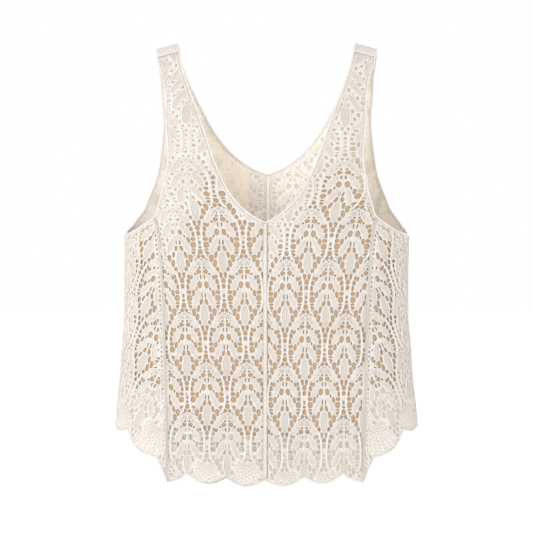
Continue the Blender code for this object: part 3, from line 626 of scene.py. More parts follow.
def make(name, points, faces, relief, finish, inner=0.0):
    """A smooth mesh object that rides on the garment.

    Inner is 1 on the back's inner side, painted pale as painted light, and 2 where it has beige
    painted warm light.
    """
    mesh = bpy.data.meshes.new(name)
    mesh.from_pydata((points * MM).tolist(), [], faces)
    draft = bmesh.new()
    draft.from_mesh(mesh)
    bmesh.ops.recalc_face_normals(draft, faces=draft.faces)
    draft.to_mesh(mesh)
    draft.free()
    # relief is painted light and shade: raised yarn painted light, recesses painted in shade
    for attribute, values in (("relief", relief), ("inner", inner)):
        mesh.attributes.new(attribute, "FLOAT", "POINT").data.foreach_set(
            "value", np.full(len(points), values, np.float32))
    mesh.polygons.foreach_set("use_smooth", [True] * len(mesh.polygons))
    mesh.materials.append(FINISHES[finish])
    piece = bpy.data.objects.new(name, mesh)
    bpy.context.scene.collection.objects.link(piece)
    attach(piece, "root")
    return piece


def ring_faces(rings, sides, closed=False):
    """Quads of a tube of rings of points, given ring by ring, with flat ends unless closed."""
    faces = []
    for r in range(rings if closed else rings - 1):
        here, there = r * sides, (r + 1) % rings * sides
        faces += [(here + k, here + (k + 1) % sides, there + (k + 1) % sides, there + k)
                  for k in range(sides)]
    if not closed:
        faces += [tuple(range(sides)), tuple(range((rings - 1) * sides, rings * sides))[::-1]]
    return faces


PLAIN_SIDE_PAINTED_SHADE = 0.5      # painted shade of a sheet's face that isn't raised


def relief_sheet(name, grid, rise, thickness, relief, finish, upwards=None, inner=0):
    """A closed sheet through a grid of points in space, its outer face raised by rise.

    If it is on the back's inner side, it is raised there and is painted pale as painted light
    (inner 1), or beige with painted warm light (2).
    """
    rows, columns = grid.shape[:2]
    normal = unit(np.cross(np.gradient(grid, axis=1), np.gradient(grid, axis=0)))
    away = grid * [1, 1, 0] if upwards is None else np.broadcast_to(upwards, grid.shape)
    normal *= np.sign((normal * away).sum(axis=2))[..., None] * (-1 if inner else 1)
    rise = np.broadcast_to(rise, (rows, columns))
    raised = grid + normal * (thickness / 2 + rise)[..., None]
    plain = grid - normal * (thickness / 2)
    points = np.vstack([raised.reshape(-1, 3), plain.reshape(-1, 3)])
    back = rows * columns
    faces = []
    for r in range(rows - 1):
        for c in range(columns - 1):
            here, below = r * columns + c, (r + 1) * columns + c
            quad = (here, here + 1, below + 1, below)
            faces += [quad, tuple(back + corner for corner in quad[::-1])]
    rim = ([c for c in range(columns)] + [r * columns + columns - 1 for r in range(1, rows)]
           + [(rows - 1) * columns + c for c in range(columns - 2, -1, -1)]
           + [r * columns for r in range(rows - 2, 0, -1)])
    faces += [(a, b, back + b, back + a) for a, b in zip(rim, rim[1:] + rim[:1])]
    # the face that isn't raised is painted in shade
    shade = np.concatenate([np.broadcast_to(relief, (rows, columns)).ravel(),
                            np.full(back, PLAIN_SIDE_PAINTED_SHADE)])
    return make(name, points, faces, shade, finish, inner)


def edge_cord(name, line, normal, swells):
    """A closed cord of twisted yarn along a line in space; normal is the way out of the cloth."""
    ring = np.vstack([line, line[:1]])
    length = lengths(ring)
    count = round(length[-1] / CORD_STEP)
    at = np.arange(count) * length[-1] / count
    spot = points_at(at, length, ring)
    up = points_at(at, length, np.vstack([normal, normal[:1]]))
    ahead = unit(np.roll(spot, -1, axis=0) - np.roll(spot, 1, axis=0))
    across = unit(np.cross(ahead, up))
    up = np.cross(across, ahead)
    turns = round(length[-1] / CORD_TWIST)
    angle = np.arange(CORD_SIDES) * 2 * np.pi / CORD_SIDES
    swell = np.cos(2 * (angle[None, :] - np.pi * turns * at[:, None] / length[-1]))
    reach = CORD_RADIUS * (1 + swells * swell)
    points = (spot[:, None, :] + across[:, None, :] * (reach * np.cos(angle))[..., None]
              + up[:, None, :] * (reach * np.sin(angle))[..., None])
    # painted light on each strand where it swells out, painted shade between the strands
    return make(name, points.reshape(-1, 3), ring_faces(count, CORD_SIDES, closed=True),
                (CORD_PAINTED_LIGHT + CORD_PAINTED_SHADE * swell).ravel(), "cord")


# ================ materials
# Painted light on the back's inner side: what replaces a finish's base there, paler so that it
# looks lit, and where that is beige, painted warm light; its groove there, painted paler too; and
# its groove in a tan pit, the lining's tan. Colours are linear.
INNER_PAINTED_LIGHT = (0.88, 0.86, 0.83)
INNER_PAINTED_WARM_LIGHT = (0.96, 0.885, 0.775)
INNER_PAINTED_GROOVE = (0.60, 0.54, 0.46)
TAN_FLOOR = (0.50, 0.37, 0.25)
SHEEN, SHEEN_ROUGHNESS, SPECULAR, BUMP_DISTANCE = 0.1, 0.6, 0.25, 0.4 * MM
PATCHES, PATCH_RANGE, PATCH_SHARE = 28.0, (0.35, 0.7), 0.55
# Painted shade round each knot: how far in from its edge it reaches, and how dark it is.
KNOT_EDGE, KNOT_SHADE = 0.22, 0.35
FIBRE_RANGE, FIBRE_SHARE = (0.3, 0.75), 0.25


def material(name, base, groove_shade, patch, bump, knots, fine, roughness):
    """Cotton: base, painted where it is raised, groove_shade, painted shade between; patch a slow
    change; knots, with painted shade round each, and grain.
    """
    made = bpy.data.materials.new(name)
    made.use_nodes = True
    nodes, links = made.node_tree.nodes, made.node_tree.links
    shader = nodes["Principled BSDF"]
    for socket, value in (("Roughness", roughness), ("Sheen Weight", SHEEN),
                          ("Sheen Roughness", SHEEN_ROUGHNESS), ("Specular IOR Level", SPECULAR)):
        shader.inputs[socket].default_value = value
    place = nodes.new("ShaderNodeTexCoord")

    def noise(scale, detail):
        node = nodes.new("ShaderNodeTexNoise")
        node.inputs["Scale"].default_value = scale
        node.inputs["Detail"].default_value = detail
        links.new(place.outputs["Object"], node.inputs["Vector"])
        return node.outputs["Fac"]

    def mix(factor, first, second, blend="MIX"):
        node = nodes.new("ShaderNodeMix")
        node.data_type, node.blend_type = "RGBA", blend
        for socket, value in (("Factor", factor), ("A", first), ("B", second)):
            target = next(s for s in node.inputs if s.name == socket and s.enabled)
            if isinstance(value, bpy.types.NodeSocket):
                links.new(value, target)
            else:
                target.default_value = (*value, 1)
        return next(s for s in node.outputs if s.enabled)

    def spread(value, low, high, to_low=0.0, to_high=1.0):
        node = nodes.new("ShaderNodeMapRange")
        for socket, number in (("From Min", low), ("From Max", high),
                               ("To Min", to_low), ("To Max", to_high)):
            node.inputs[socket].default_value = number
        links.new(value, node.inputs["Value"])
        return node.outputs["Result"]

    def attribute(title):
        node = nodes.new("ShaderNodeAttribute")
        node.attribute_name = title
        return node.outputs["Fac"]

    relief, inner = attribute("relief"), attribute("inner")
    high = mix(inner, base, INNER_PAINTED_LIGHT)
    high = mix(spread(inner, 1.0, 2.0), high, INNER_PAINTED_WARM_LIGHT)
    low = mix(spread(relief, 0.0, -1.0), groove_shade, TAN_FLOOR)
    low = mix(inner, low, INNER_PAINTED_GROOVE)
    # painted light and shade: from groove_shade in recesses to the base on raised yarn
    raised = mix(spread(relief, 0.05, 0.95), low, high)
    patchy = mix(spread(noise(PATCHES, 3.0), *PATCH_RANGE, 0.0, PATCH_SHARE), raised, patch,
                 "MULTIPLY")
    cells = nodes.new("ShaderNodeTexVoronoi")
    cells.feature = "DISTANCE_TO_EDGE"
    cells.inputs["Scale"].default_value = knots
    links.new(place.outputs["Object"], cells.inputs["Vector"])
    knotted = spread(cells.outputs["Distance"], 0.0, KNOT_EDGE)
    # painted shade round the knots, towards groove_shade
    shadow = mix(spread(knotted, 0.0, 1.0, KNOT_SHADE, 0.0), patchy, groove_shade)
    fibres = mix(spread(noise(fine * 0.5, 2.0), *FIBRE_RANGE, 0.0, FIBRE_SHARE), shadow, groove_shade)
    links.new(fibres, shader.inputs["Base Color"])
    grain = nodes.new("ShaderNodeMath")
    grain.operation = "ADD"
    links.new(knotted, grain.inputs[0])
    links.new(noise(fine, 3.0), grain.inputs[1])
    yarn = nodes.new("ShaderNodeBump")
    yarn.inputs["Strength"].default_value = bump
    yarn.inputs["Distance"].default_value = BUMP_DISTANCE
    links.new(grain.outputs["Value"], yarn.inputs["Height"])
    links.new(yarn.outputs["Normal"], shader.inputs["Normal"])
    return made


FINISHES = {
    "lace": material("ecru_cotton_lace", base=(0.735, 0.708, 0.68), groove_shade=(0.41, 0.365, 0.305),
                     patch=(0.93, 0.90, 0.86), bump=0.5, knots=520.0, fine=1100.0, roughness=0.85),
    "cord": material("ecru_cotton_cord", base=(0.715, 0.69, 0.66), groove_shade=(0.52, 0.49, 0.445),
                     patch=(0.95, 0.93, 0.90), bump=0.4, knots=650.0, fine=1300.0, roughness=0.8),
    "lining": material("tan_knit_lining", base=(0.485, 0.345, 0.225), groove_shade=(0.43, 0.30, 0.185),
                       patch=(0.97, 0.95, 0.92), bump=0.2, knots=900.0, fine=1500.0, roughness=0.9),
}


# ================ one repeat of the lace
def gap_ring(width, length, turn, shape, grow=0.0):
    """A gap's closed outline about its own middle."""
    size = (width + length) / 2
    corners = 6 if size < SMALL_GAP else 8 if size < LARGE_GAP else 10
    angle = (np.arange(corners) + 0.5) * 2 * np.pi / corners
    x, y = np.cos(angle), np.sin(angle)
    if shape == "square":
        reach = (np.abs(x) ** 4 + np.abs(y) ** 4) ** -0.25
    elif shape == "corner":     # of a triangle with round corners
        reach = 1 + 0.2 * np.cos(3 * (angle - math.radians(-55)))
    else:
        reach = np.ones(corners)
    ring = np.column_stack([x * reach * (width / 2 + grow), y * reach * (length / 2 + grow)])
    return turned(ring, -math.radians(turn))


def nearest_all(points, rings):
    """The least distance from each point to any of the rings, and whether it is inside one."""
    away, within = np.full(len(points), 99.0), np.zeros(len(points), bool)
    for ring in rings:
        away = np.minimum(away, nearest(points, ring)[2])
        within |= inside(points, ring)
    return away, within


class Repeat:
    """One repeat of the lace about its apex: gaps that fill the room between leaves and cords."""

    def __init__(self):
        self.shifts = [np.array([column * COLUMN_PITCH, (row + 0.5 * (column % 2)) * REPEAT])
                       for column in (-1, 0, 1) for row in (-2, -1, 0, 1, 2)]
        leaves = [leaf_outline(row, hand)
                  for row in PAIRED_LEAVES + (END_LEAF,) for hand in (1, -1)]
        self.leaves = [leaf + shift for leaf in leaves for shift in self.shifts]
        cords = [(smooth(RAIL, RAIL_SMOOTHNESS), RAIL_RADIUS), (np.array(STEM), STEM_RADIUS)]
        self.cords = [(resample(line * (hand, 1) + shift, 1.0), radius)
                      for line, radius in cords for hand in (1, -1) for shift in self.shifts]
        self.gaps = [self.seed(*row) for row in PAIRED_GAPS + MIDDLE_GAPS]
        self.grow(GROWTH_ROUNDS)
        self.fill()

    @staticmethod
    def seed(across, down, width, length, turn, shape, growth=None):
        """A gap before it grows: its middle, the way to each corner, how far, how far at most."""
        ring = gap_ring(width, length, turn, shape)
        reach = norm(ring)
        most = reach * GROWTH + 0.2 if growth is None else reach * GROWTH_START * growth
        return {"middle": np.array([across, down]), "ways": ring / reach[:, None],
                "reach": reach * GROWTH_START, "most": most}

    @staticmethod
    def ring(gap):
        """A gap's closed outline."""
        return gap["middle"] + gap["ways"] * gap["reach"][:, None]

    def copies(self):
        """Every gap's ring near the repeat, with where it came from."""
        rings = []
        for number, gap in enumerate(self.gaps):
            for hand in (1, -1) if gap["middle"][0] > 0.01 else (1,):
                for shift in self.shifts:
                    rings.append((number, hand, shift, self.ring(gap) * (hand, 1) + shift))
        return rings

    def room(self, points):
        """How far each point is from the nearest leaf or cord, less than 0 when it is in one."""
        near = [leaf for leaf in self.leaves
                if norm(leaf.mean(axis=0) - points.mean(axis=0)) < NEAR_LEAF]
        away, within = nearest_all(points, near)
        away = np.where(within, -away, away)
        for line, radius in self.cords:
            if norm(line - points.mean(axis=0)).min() < NEAR_CORD:
                away = np.minimum(away, apart(points, line) - radius)
        return away

    def grow(self, rounds, first=0):
        """Move the gaps' corners out, from the first gap on, while the bars stay BAR wide."""
        for _ in range(rounds):
            rings = self.copies()
            middles = np.array([ring.mean(axis=0) for _, _, _, ring in rings])
            tried = []
            for number, gap in enumerate(self.gaps):
                if number < first:
                    tried.append(gap["reach"])
                    continue
                reach = np.minimum(gap["reach"] + GROWTH_STEP, gap["most"])
                corners = gap["middle"] + gap["ways"] * reach[:, None]
                near = np.flatnonzero(norm(middles - gap["middle"]) < NEAR_GAP)
                others = [rings[k][3] for k in near
                          if rings[k][0] != number or rings[k][1] < 0 or rings[k][2].any()]
                away, within = nearest_all(corners, others)
                free = (away > BAR) & ~within & (self.room(corners) > -LEAF_LAP)
                tried.append(np.where(free, reach, gap["reach"]))
            for gap, reach in zip(self.gaps, tried):
                gap["reach"] = np.minimum(reach, np.roll(reach, 1) + MOST_POINTED)

    def fill(self):
        """Open more gaps where there is room for them."""
        across = np.arange(0.0, COLUMN_PITCH / 2 + 0.1, FILL_GRID)
        grid = np.array([(a, d) for a in across for d in np.arange(0, REPEAT, FILL_GRID)])
        grid = grid[(grid[:, 0] < 0.1) | (grid[:, 0] > 1.0)]
        room = np.concatenate([self.room(part) for part in np.array_split(grid, 200)])
        for _ in range(MOST_FILLERS):
            away = room.copy()
            for _, _, _, ring in self.copies():
                middle = ring.mean(axis=0)
                near = np.flatnonzero(norm(grid - middle) < NEAR_FILLER)
                if len(near):
                    here, within = nearest_all(grid[near], [ring])
                    away[near] = np.minimum(away[near], np.where(within, -1, here - BAR))
            mirrored = np.where(grid[:, 0] > 0.1, grid[:, 0] - BAR / 2, 99)
            away = np.minimum(away, mirrored)
            best = int(away.argmax())
            if away[best] < LEAST_FILLER:
                break
            size = 2 * away[best]
            self.gaps.append(self.seed(*grid[best], size, size, 0, "oval", FILLER_GROWTH))
            self.grow(FILLER_ROUNDS, len(self.gaps) - 1)

    def rings(self):
        """Each gap's middle, outline from there with its lip, and size, at both hands."""
        found = []
        for gap in self.gaps:
            outline = gap["ways"] * (gap["reach"] + LIP)[:, None]
            size = 2 * gap["reach"].min()
            for hand in (1, -1) if gap["middle"][0] > 0.01 else (1,):
                found.append((gap["middle"] * (hand, 1), outline * (hand, 1), size))
        return found


def with_midpoints(ring):
    """The same closed ring, with a point in the middle of each edge."""
    return np.stack([ring, (ring + np.roll(ring, -1, axis=0)) / 2], axis=1).reshape(-1, 2)


def closest(first, second):
    """The least distance between two rings of points."""
    return min(nearest(first, second)[2].min(), nearest(second, first)[2].min())


def sideways(line):
    """The way to the right of a line at each of its points."""
    ahead = unit(np.gradient(line, axis=0))
    return np.column_stack([ahead[:, 1], -ahead[:, 0]])


def curve_of(base, bend, tip, t):
    """Points of a curve that starts from base towards bend and ends at tip, at shares t."""
    t = t[:, None]
    return (1 - t) ** 2 * base + 2 * t * (1 - t) * bend + t ** 2 * tip


def leaf_line(row, length):
    """A leaf's middle line, the way across it and its half width, at LEAF_STEPS along it."""
    base, bend, tip = (np.array(row[k:k + 2], float) for k in (0, 2, 4))
    half_width, widest, pointed = row[6:]
    bend, tip = base + (bend - base) * length, base + (tip - base) * length
    t = np.array(LEAF_STEPS)
    middle = curve_of(base, bend, tip, t)
    width = half_width * np.maximum(np.sin(np.pi * t ** widest) ** pointed, 0.06)
    return middle, sideways(middle), width


def leaf_outline(row, hand, length=1.0):
    """A leaf's closed outline about the apex, at either hand."""
    middle, side, width = leaf_line(row, length)
    edges = [middle + side * width[:, None] * k for k in (1, -1)]
    return np.vstack([edges[0], edges[1][::-1]]) * (hand, 1)


def leaf_shape(row, ribs, hand, length=1.0):
    """A leaf: its points about the apex, how far out each is and its painted light, and its faces.
    """
    middle, side, width = leaf_line(row, length)
    half = np.array(ribs)
    across, raised, light = np.vstack([half[:0:-1] * (-1, 1, 1), half]).T
    under, lowered, light_under = np.vstack([half[-2:0:-1], half[:-1] * (-1, 1, 1)]).T
    section = np.concatenate([across, under])
    points = middle[:, None, :] + side[:, None, :] * (width[:, None] * section)[..., None]
    fade = np.sin(np.pi * np.array(LEAF_STEPS)) ** 0.25
    top = LEAF_FOOT + LEAF_RISE * raised[None, :] * fade[:, None]
    top[:, [0, -1]] = 0.0
    low = -LEAF_FOOT - LEAF_BACK_RISE * lowered[None, :] * fade[:, None]
    out = np.hstack([top, low])
    relief = np.tile(np.concatenate([light, light_under]), (len(middle), 1))
    # its base and tip rows are painted light
    relief[[0, 1, -2, -1]] = np.maximum(relief[[0, 1, -2, -1]], 0.9)
    return (points.reshape(-1, 2) * (hand, 1), out.ravel(), relief.ravel(),
            ring_faces(len(middle), len(section)))


def ridge_shape(path, radius):
    """A cord on the net along a path: points, how far out each is and its painted light and shade,
    and faces.
    """
    line = resample(np.array(path, float), RIDGE_STEP)
    angle = np.radians(RIDGE_ANGLES)
    points = line[:, None, :] + sideways(line)[:, None, :] * (radius * np.cos(angle))[:, None]
    out = CORD_OUT + np.tile(radius * np.sin(angle), len(line))
    relief = np.tile(RIDGE_PAINTED_LIGHTS, len(line))
    return points.reshape(-1, 2), out, relief, ring_faces(len(line), len(angle))


# ================ how the lace lies on the cloth
def hanging(shell, hand):
    """Lace hung in columns that widen upwards: a function from the lace to the cloth."""
    fall, height = np.array(LACE_HEIGHTS[hand], float).T
    down = shell.cloth(np.column_stack([np.full(len(height), LACE_LINE), height]))[:, 1]
    fall, height, down = (
        np.concatenate([[row[0] - beyond], row, [row[-1] + beyond]]) for row, beyond in
        ((fall, LACE_BEYOND), (height, -LACE_BEYOND), (down, LACE_BEYOND)))

    def hang(lace):
        across, below = lace.T
        level = np.interp(below, fall, height)
        wide = across / COLUMN_PITCH * read(COLUMN_WIDTHS, level)
        if hand == "left" and shell.facing < 0:
            wide = wide - read(DRAWN_IN, level) * np.exp(-np.abs(wide) / DRAWN_FADE)
        return np.column_stack([wide, np.interp(below, fall, down)])

    return hang


# ================ a panel of lace
class Panel:
    """One panel's lace, flat: its net with gaps, and its leaves and cords."""
    FOOT_STEP, FOOT_STEPS = 2.0, 60     # how the hem is looked for below an apex
    # A gap with half its corners this far outside is left out. Shorter sides are dropped, and a
    # gap with a corner that turns less is left out.
    GAP_OUTSIDE, SHORTEST_SIDE, LEAST_TURN = 2.0, 0.25, 0.02
    # A leaf with more of it than this share at the edge or outside is left out. One nearer the
    # edge than FLATTER is held inside by a margin, and rises with the way from the edge.
    LEAF_EDGE, MOST_AT_EDGE, FLATTER, LEAF_MARGIN, LEAF_SLOPE = 0.3, 0.4, 3.0, 0.4, 0.3
    SHORTEST_CORD = 3                   # in steps

    def __init__(self, half, outline, hang, turn, seam_side, hand):
        self.half, self.outline, self.hang, self.turn = half, outline, hang, turn
        self.seam_side, self.hand = seam_side, hand
        self.neck, self.hem = half.edge("neck", EDGE_INSET), half.edge("hem", EDGE_INSET)
        self.gaps, self.spots, self.pits, self.blocks = [], np.zeros((MOST_GAPS, 3)), [], []
        self.raised = Draft()

    def on_cloth(self, points, place):
        """Where points about a spray's apex are on the cloth; place is the apex in the lace."""
        return self.hang(np.asarray(points, float) + place)

    def spot(self, place):
        """Across and height, in the front view, of a place on the cloth."""
        x, _, z = self.half.shell.middle(*np.array([place]).T)[0]
        return (x if self.hand == "right" else -x), z

    def openness_at(self, place):
        """A gap's share of its full size there, and the painted shade of its floor if it's a pit,
        or 0.
        """
        x, z = self.spot(place)
        share, pit = self.front_gap(x, z) if self.half.shell.facing < 0 else self.back_gap(z)
        if nearest(place[None], self.hem)[2][0] < HEM_BORDER:
            pit = PALE_PIT
        return share, pit

    def front_gap(self, x, z):
        """The same for the front, but for the hem's border."""
        above_lining = z - read(LINING_TOP_FRONT, abs(x)) + LINING_CLEAR
        if self.seam_side == "centre":
            start, across, rise = CLOSE_LACE[self.hand]
            above = z - start - rise * (x - across)
            share, pit = read(CLOSE_SHARES, above), TAN_PIT * (above > CLOSE_PITS)
        else:
            share = read(FRONT_SHARES, -z) * read(SIDE_SHARES, abs(x))
            pit = PALE_PIT * (z <= FRONT_FOOT)
        if pit < 0 or above_lining > 0:
            pit = float(read(TAN_SHADES, above_lining))
        elif self.seam_side == "side":
            pit = pit or TAN_PIT * (abs(x) > SIDE_PITS)
        return share, pit

    @staticmethod
    def back_gap(z):
        """The same for the back."""
        if BACK_FOOT < z < BACK_HEAD:
            pit = 0.0
        else:
            fade = (0, TAN_PIT), (TAN_FADE, DARK_PIT)
            pit = TAN_PIT if z >= BACK_HEAD else float(read(fade, BACK_FOOT - z))
        return read(BACK_SHARES, -z), pit

    def plain_inside(self, place):
        """Whether the back's inner side is plain there."""
        x, z = self.spot(place)
        return (self.half.shell.facing > 0 and z > PLAIN_HEIGHT
                and not LACE_INSIDE[0] < x < LACE_INSIDE[1])

    def sprays(self):
        """The apex of every spray that may reach the panel."""
        low, high = self.outline.min(axis=0) - REPEAT, self.outline.max(axis=0) + REPEAT
        for column in range(-16, 17):
            for row in range(-8, 9):
                place = np.array((column * COLUMN_PITCH, (row + 0.5 * (column % 2)) * REPEAT))
                spot = self.hang(place[None])[0]
                if np.all(spot > low) and np.all(spot < high):
                    yield place

    def depth(self, place):
        """How far inside the panel a place is."""
        return depth_inside(np.reshape(place, (1, 2)), self.outline)[0]

    def foot_of(self, place):
        """How far below a spray's apex the hem is, 0 if the apex isn't in the panel."""
        if self.depth(self.hang(place[None])) < 2.0:
            return 0.0
        below = np.arange(self.FOOT_STEPS) * self.FOOT_STEP
        along = self.on_cloth(np.column_stack([np.zeros(self.FOOT_STEPS), below]), place)
        out = np.flatnonzero(~inside(along, self.outline))
        return self.FOOT_STEP * (out[0] if len(out) else self.FOOT_STEPS)

    def open_gap(self, ring, margin=GAP_MARGIN, least=0.45, pit=0.0):
        """Cut a gap, held inside the panel, unless too little of it would be left."""
        whole = abs(area(ring))
        held, depth = hold_inside(ring, self.outline, margin)
        if (depth < -self.GAP_OUTSIDE).sum() > len(ring) / 2:
            return
        near_neck = nearest(held, self.neck)[2].min()
        if near_neck < NECK_MARGIN and self.seam_side == "centre":
            return
        if abs(area(held)) < least * whole:
            return
        held = held[norm(held - np.roll(held, 1, axis=0)) > self.SHORTEST_SIDE]
        if len(held) < 4:
            return
        middle = held.mean(axis=0)
        spokes = held - middle
        ahead = np.roll(spokes, -1, axis=0)
        turns = spokes[:, 0] * ahead[:, 1] - spokes[:, 1] * ahead[:, 0]
        if (turns * np.sign(area(held)) < self.LEAST_TURN).any():
            return
        if depth_inside(with_midpoints(held), self.outline).min() < 0.6 * margin:
            return
        reach = norm(spokes).max()
        if self.is_free(held, middle, reach):
            self.spots[len(self.gaps)] = (*middle, reach)
            self.gaps.append(held)
            self.pits.append(pit)

    def is_free(self, ring, middle, reach):
        """Whether a gap leaves enough net between it and the gaps already cut."""
        ring = with_midpoints(ring)
        spots = self.spots[:len(self.gaps)]
        between = np.hypot(*(spots[:, :2] - middle).T) - spots[:, 2] - reach
        return not any(closest(ring, self.gaps[k]) < LEAST_BAR * 0.6
                       or inside(ring, self.gaps[k]).any() or inside(self.gaps[k], ring).any()
                       for k in np.flatnonzero(between < LEAST_BAR))

    def raise_leaf(self, shape, place):
        """Lay a leaf, flatter near the panel's edge, if most of it is in the panel."""
        points, out, relief, faces = shape
        flat = self.on_cloth(points, place)
        depth = depth_inside(flat[::5], self.outline)
        if (depth < self.LEAF_EDGE).mean() > self.MOST_AT_EDGE:
            return
        if depth.min() < self.FLATTER:
            flat, depth = hold_inside(flat, self.outline, self.LEAF_MARGIN)
            most = NET_OUT + self.LEAF_SLOPE * np.maximum(depth, 0)
            out = np.clip(out, -most, most)
        if self.plain_inside(flat.mean(axis=0)):
            out = np.maximum(out, PLAIN_RISE - NET_OUT)
        self.raised.add(flat, out, relief, faces)
        self.blocks.append(flat)

    def raise_cord(self, path, radius, place=None):
        """Lay a cord along the longest part of a path that is in the panel."""
        line = np.array(path, float) if place is None else self.on_cloth(path, place)
        line = resample(line, RIDGE_STEP)
        free = depth_inside(line, self.outline) > radius * 0.8
        best, start = (0, 0), None
        for k, good in enumerate(np.append(free, False)):
            if good and start is None:
                start = k
            if not good and start is not None:
                best, start = max(best, (k - start, start)), None
        if best[0] >= self.SHORTEST_CORD:
            part = line[best[1]:best[1] + best[0]]
            points, out, relief, faces = ridge_shape(part, radius)
            if self.plain_inside(part.mean(axis=0)):
                out = np.maximum(out, PLAIN_RISE - NET_OUT)
            self.raised.add(points, out, relief, faces)
            self.blocks.append(part)

    def draw_sprays(self, gaps, leaves, end_leaves):
        """Each spray's leaves and stem, or a fan in their place, and its rails and gaps."""
        for place in self.sprays():
            foot = self.foot_of(place)
            if 0 < foot < FAN_REACH:
                self.draw_fan(place)
            else:
                for leaf in leaves:
                    self.raise_leaf(leaf, place)
                for leaf in end_leaves:
                    tip = leaf[0][-TIP_POINTS:].mean(axis=0)
                    if self.depth(self.on_cloth([tip], place)) > 0.5 or leaf is end_leaves[-1]:
                        self.raise_leaf(leaf, place)
                        break
                for hand in (1, -1):
                    self.raise_cord(np.array(STEM) * (hand, 1), STEM_RADIUS, place)
            for hand in (1, -1):
                rail = np.array(RAIL) * (hand, 1)
                below = self.on_cloth([(0, REPEAT)], place)[0]
                if 0 < self.foot_of(below) < FAN_REACH:
                    rail = rail[:RAIL_OVER_FAN]
                self.raise_cord(smooth(rail, RAIL_SMOOTHNESS), RAIL_RADIUS, place)
            for spot, ring, size in gaps:
                middle = self.on_cloth([spot], place)[0]
                above_fan = 0 < foot < FAN_REACH and spot[1] < MIDDLE_GAPS[0][1]
                if above_fan or self.depth(middle) < 0.4:
                    continue
                share, pit = self.openness_at(middle)
                if size * share >= LEAST_GAP:
                    self.open_gap(self.on_cloth(spot + ring * share, place), pit=pit)

    def draw_fan(self, place):
        """Rays from above the apex down to the hem, with small gaps between them."""
        angles = (np.arange(FAN_RAYS) / (FAN_RAYS - 1) - 0.5) * FAN_TURN
        for ray, angle in enumerate(angles):
            way = np.array([math.sin(angle), math.cos(angle)])
            far = min(FAN_REACH + FAN_BEYOND, FAN_SPREAD / max(abs(way[0]), 0.05))
            reach = np.arange(FAN_START, far, 2.0)
            if len(reach) > 3:
                self.raise_cord(way * reach[:, None] + (0, FAN_HEIGHT), FAN_RAY_RADIUS, place)
            if ray == FAN_RAYS - 1:
                continue
            angle += FAN_TURN / (FAN_RAYS - 1) / 2
            way = np.array([math.sin(angle), math.cos(angle)])
            for k, reach in enumerate(np.arange(FAN_START + 3 + 2 * (ray % 2), far, FAN_PITCH)):
                spot = way * reach + (0, FAN_HEIGHT)
                if self.depth(self.on_cloth([spot], place)) < FAN_MARGIN:
                    continue
                ring = gap_ring(FAN_GAP[0] + FAN_GAP[1] * reach, FAN_GAP[2], 0, "oval", LIP)
                self.open_gap(self.on_cloth(spot + turned(ring, -angle), place), least=0.8,
                              pit=FAINT_PIT)

    def draw_edge_cords(self):
        """Cords along the neck and the armhole, inside their edgings."""
        for name, inwards, radius in EDGE_CORDS:
            self.raise_cord(self.half.edge(name, inwards), radius)

    def draw_seam_ladder(self):
        """A row of small gaps down the panel beside its seam."""
        away, width, length, pitch = SEAM_LADDER
        down = np.arange(self.outline[:, 1].min() + SEAM_LADDER_ENDS[0],
                         self.outline[:, 1].max() - SEAM_LADDER_ENDS[1], pitch)
        across = self.half.seam(down) + (away if self.seam_side == "side" else -away)
        for place in np.column_stack([across, down]):
            self.open_gap(place + gap_ring(width, length, 0, "oval", LIP), least=0.9,
                          pit=self.openness_at(place)[1])

    def draw_slits(self):
        """Small gaps where the net would be plain, below the close lace of the upper part."""
        low, high = self.outline.min(axis=0), self.outline.max(axis=0)
        across, down = (np.arange(low[k], high[k], SLIT_PITCH[k]) for k in range(2))
        grid = np.array([(a + (row % 2) * SLIT_PITCH[0] / 2, d)
                         for row, d in enumerate(down) for a in across])
        grid += np.random.default_rng(SEED).uniform(-SLIT_STRAY, SLIT_STRAY, grid.shape)
        grid = grid[depth_inside(grid, self.outline) > SLIT_MARGIN]
        grid = grid[nearest(grid, self.neck)[2] > SLIT_NECK_MARGIN]
        grid = grid[self.half.shell.middle(*grid.T)[:, 2] < SLIT_TOP]
        grid = clear_of(grid, self.blocks, SLIT_CLEAR, apart)
        slit = gap_ring(*SLIT, math.degrees(-self.turn), "oval", LIP)
        for place in clear_of(grid, self.gaps, SLIT[1] / 2 + LIP + LEAST_BAR):
            self.open_gap(place + slit, least=0.95, pit=self.openness_at(place)[1])

    def net(self):
        """The net as a draft: both faces, and rounded lips round the gaps and the outline, the
        gaps' lips painted light.
        """
        low, high = self.outline.min(axis=0), self.outline.max(axis=0)
        across, down = (np.arange(low[k], high[k], NET_GRID) for k in range(2))
        grid = np.array([(a, d) for a in across for d in down])
        grid = grid[depth_inside(grid, self.outline) > GRID_CLEAR]
        loops = [self.outline] + self.gaps
        flat, origin, rings, faces = triangulate(loops, clear_of(grid, self.gaps, GRID_CLEAR))
        count = len(flat)
        draft = Draft()
        for side in (1, -1):
            # the gaps' lips get a painted highlight, the rest of the net a painted mid shade
            draft.add(flat, side * NET_OUT, np.where(origin > 0, LIP_PAINTED_HIGHLIGHT, NET_PAINTED_LIGHT), [])
        draft.faces = faces + [tuple(count + corner for corner in face[::-1]) for face in faces]
        for loop, front, light in zip(loops, rings, [0.0] + self.pits):
            back = [count + corner for corner in front]
            rim = self.rim(loop)
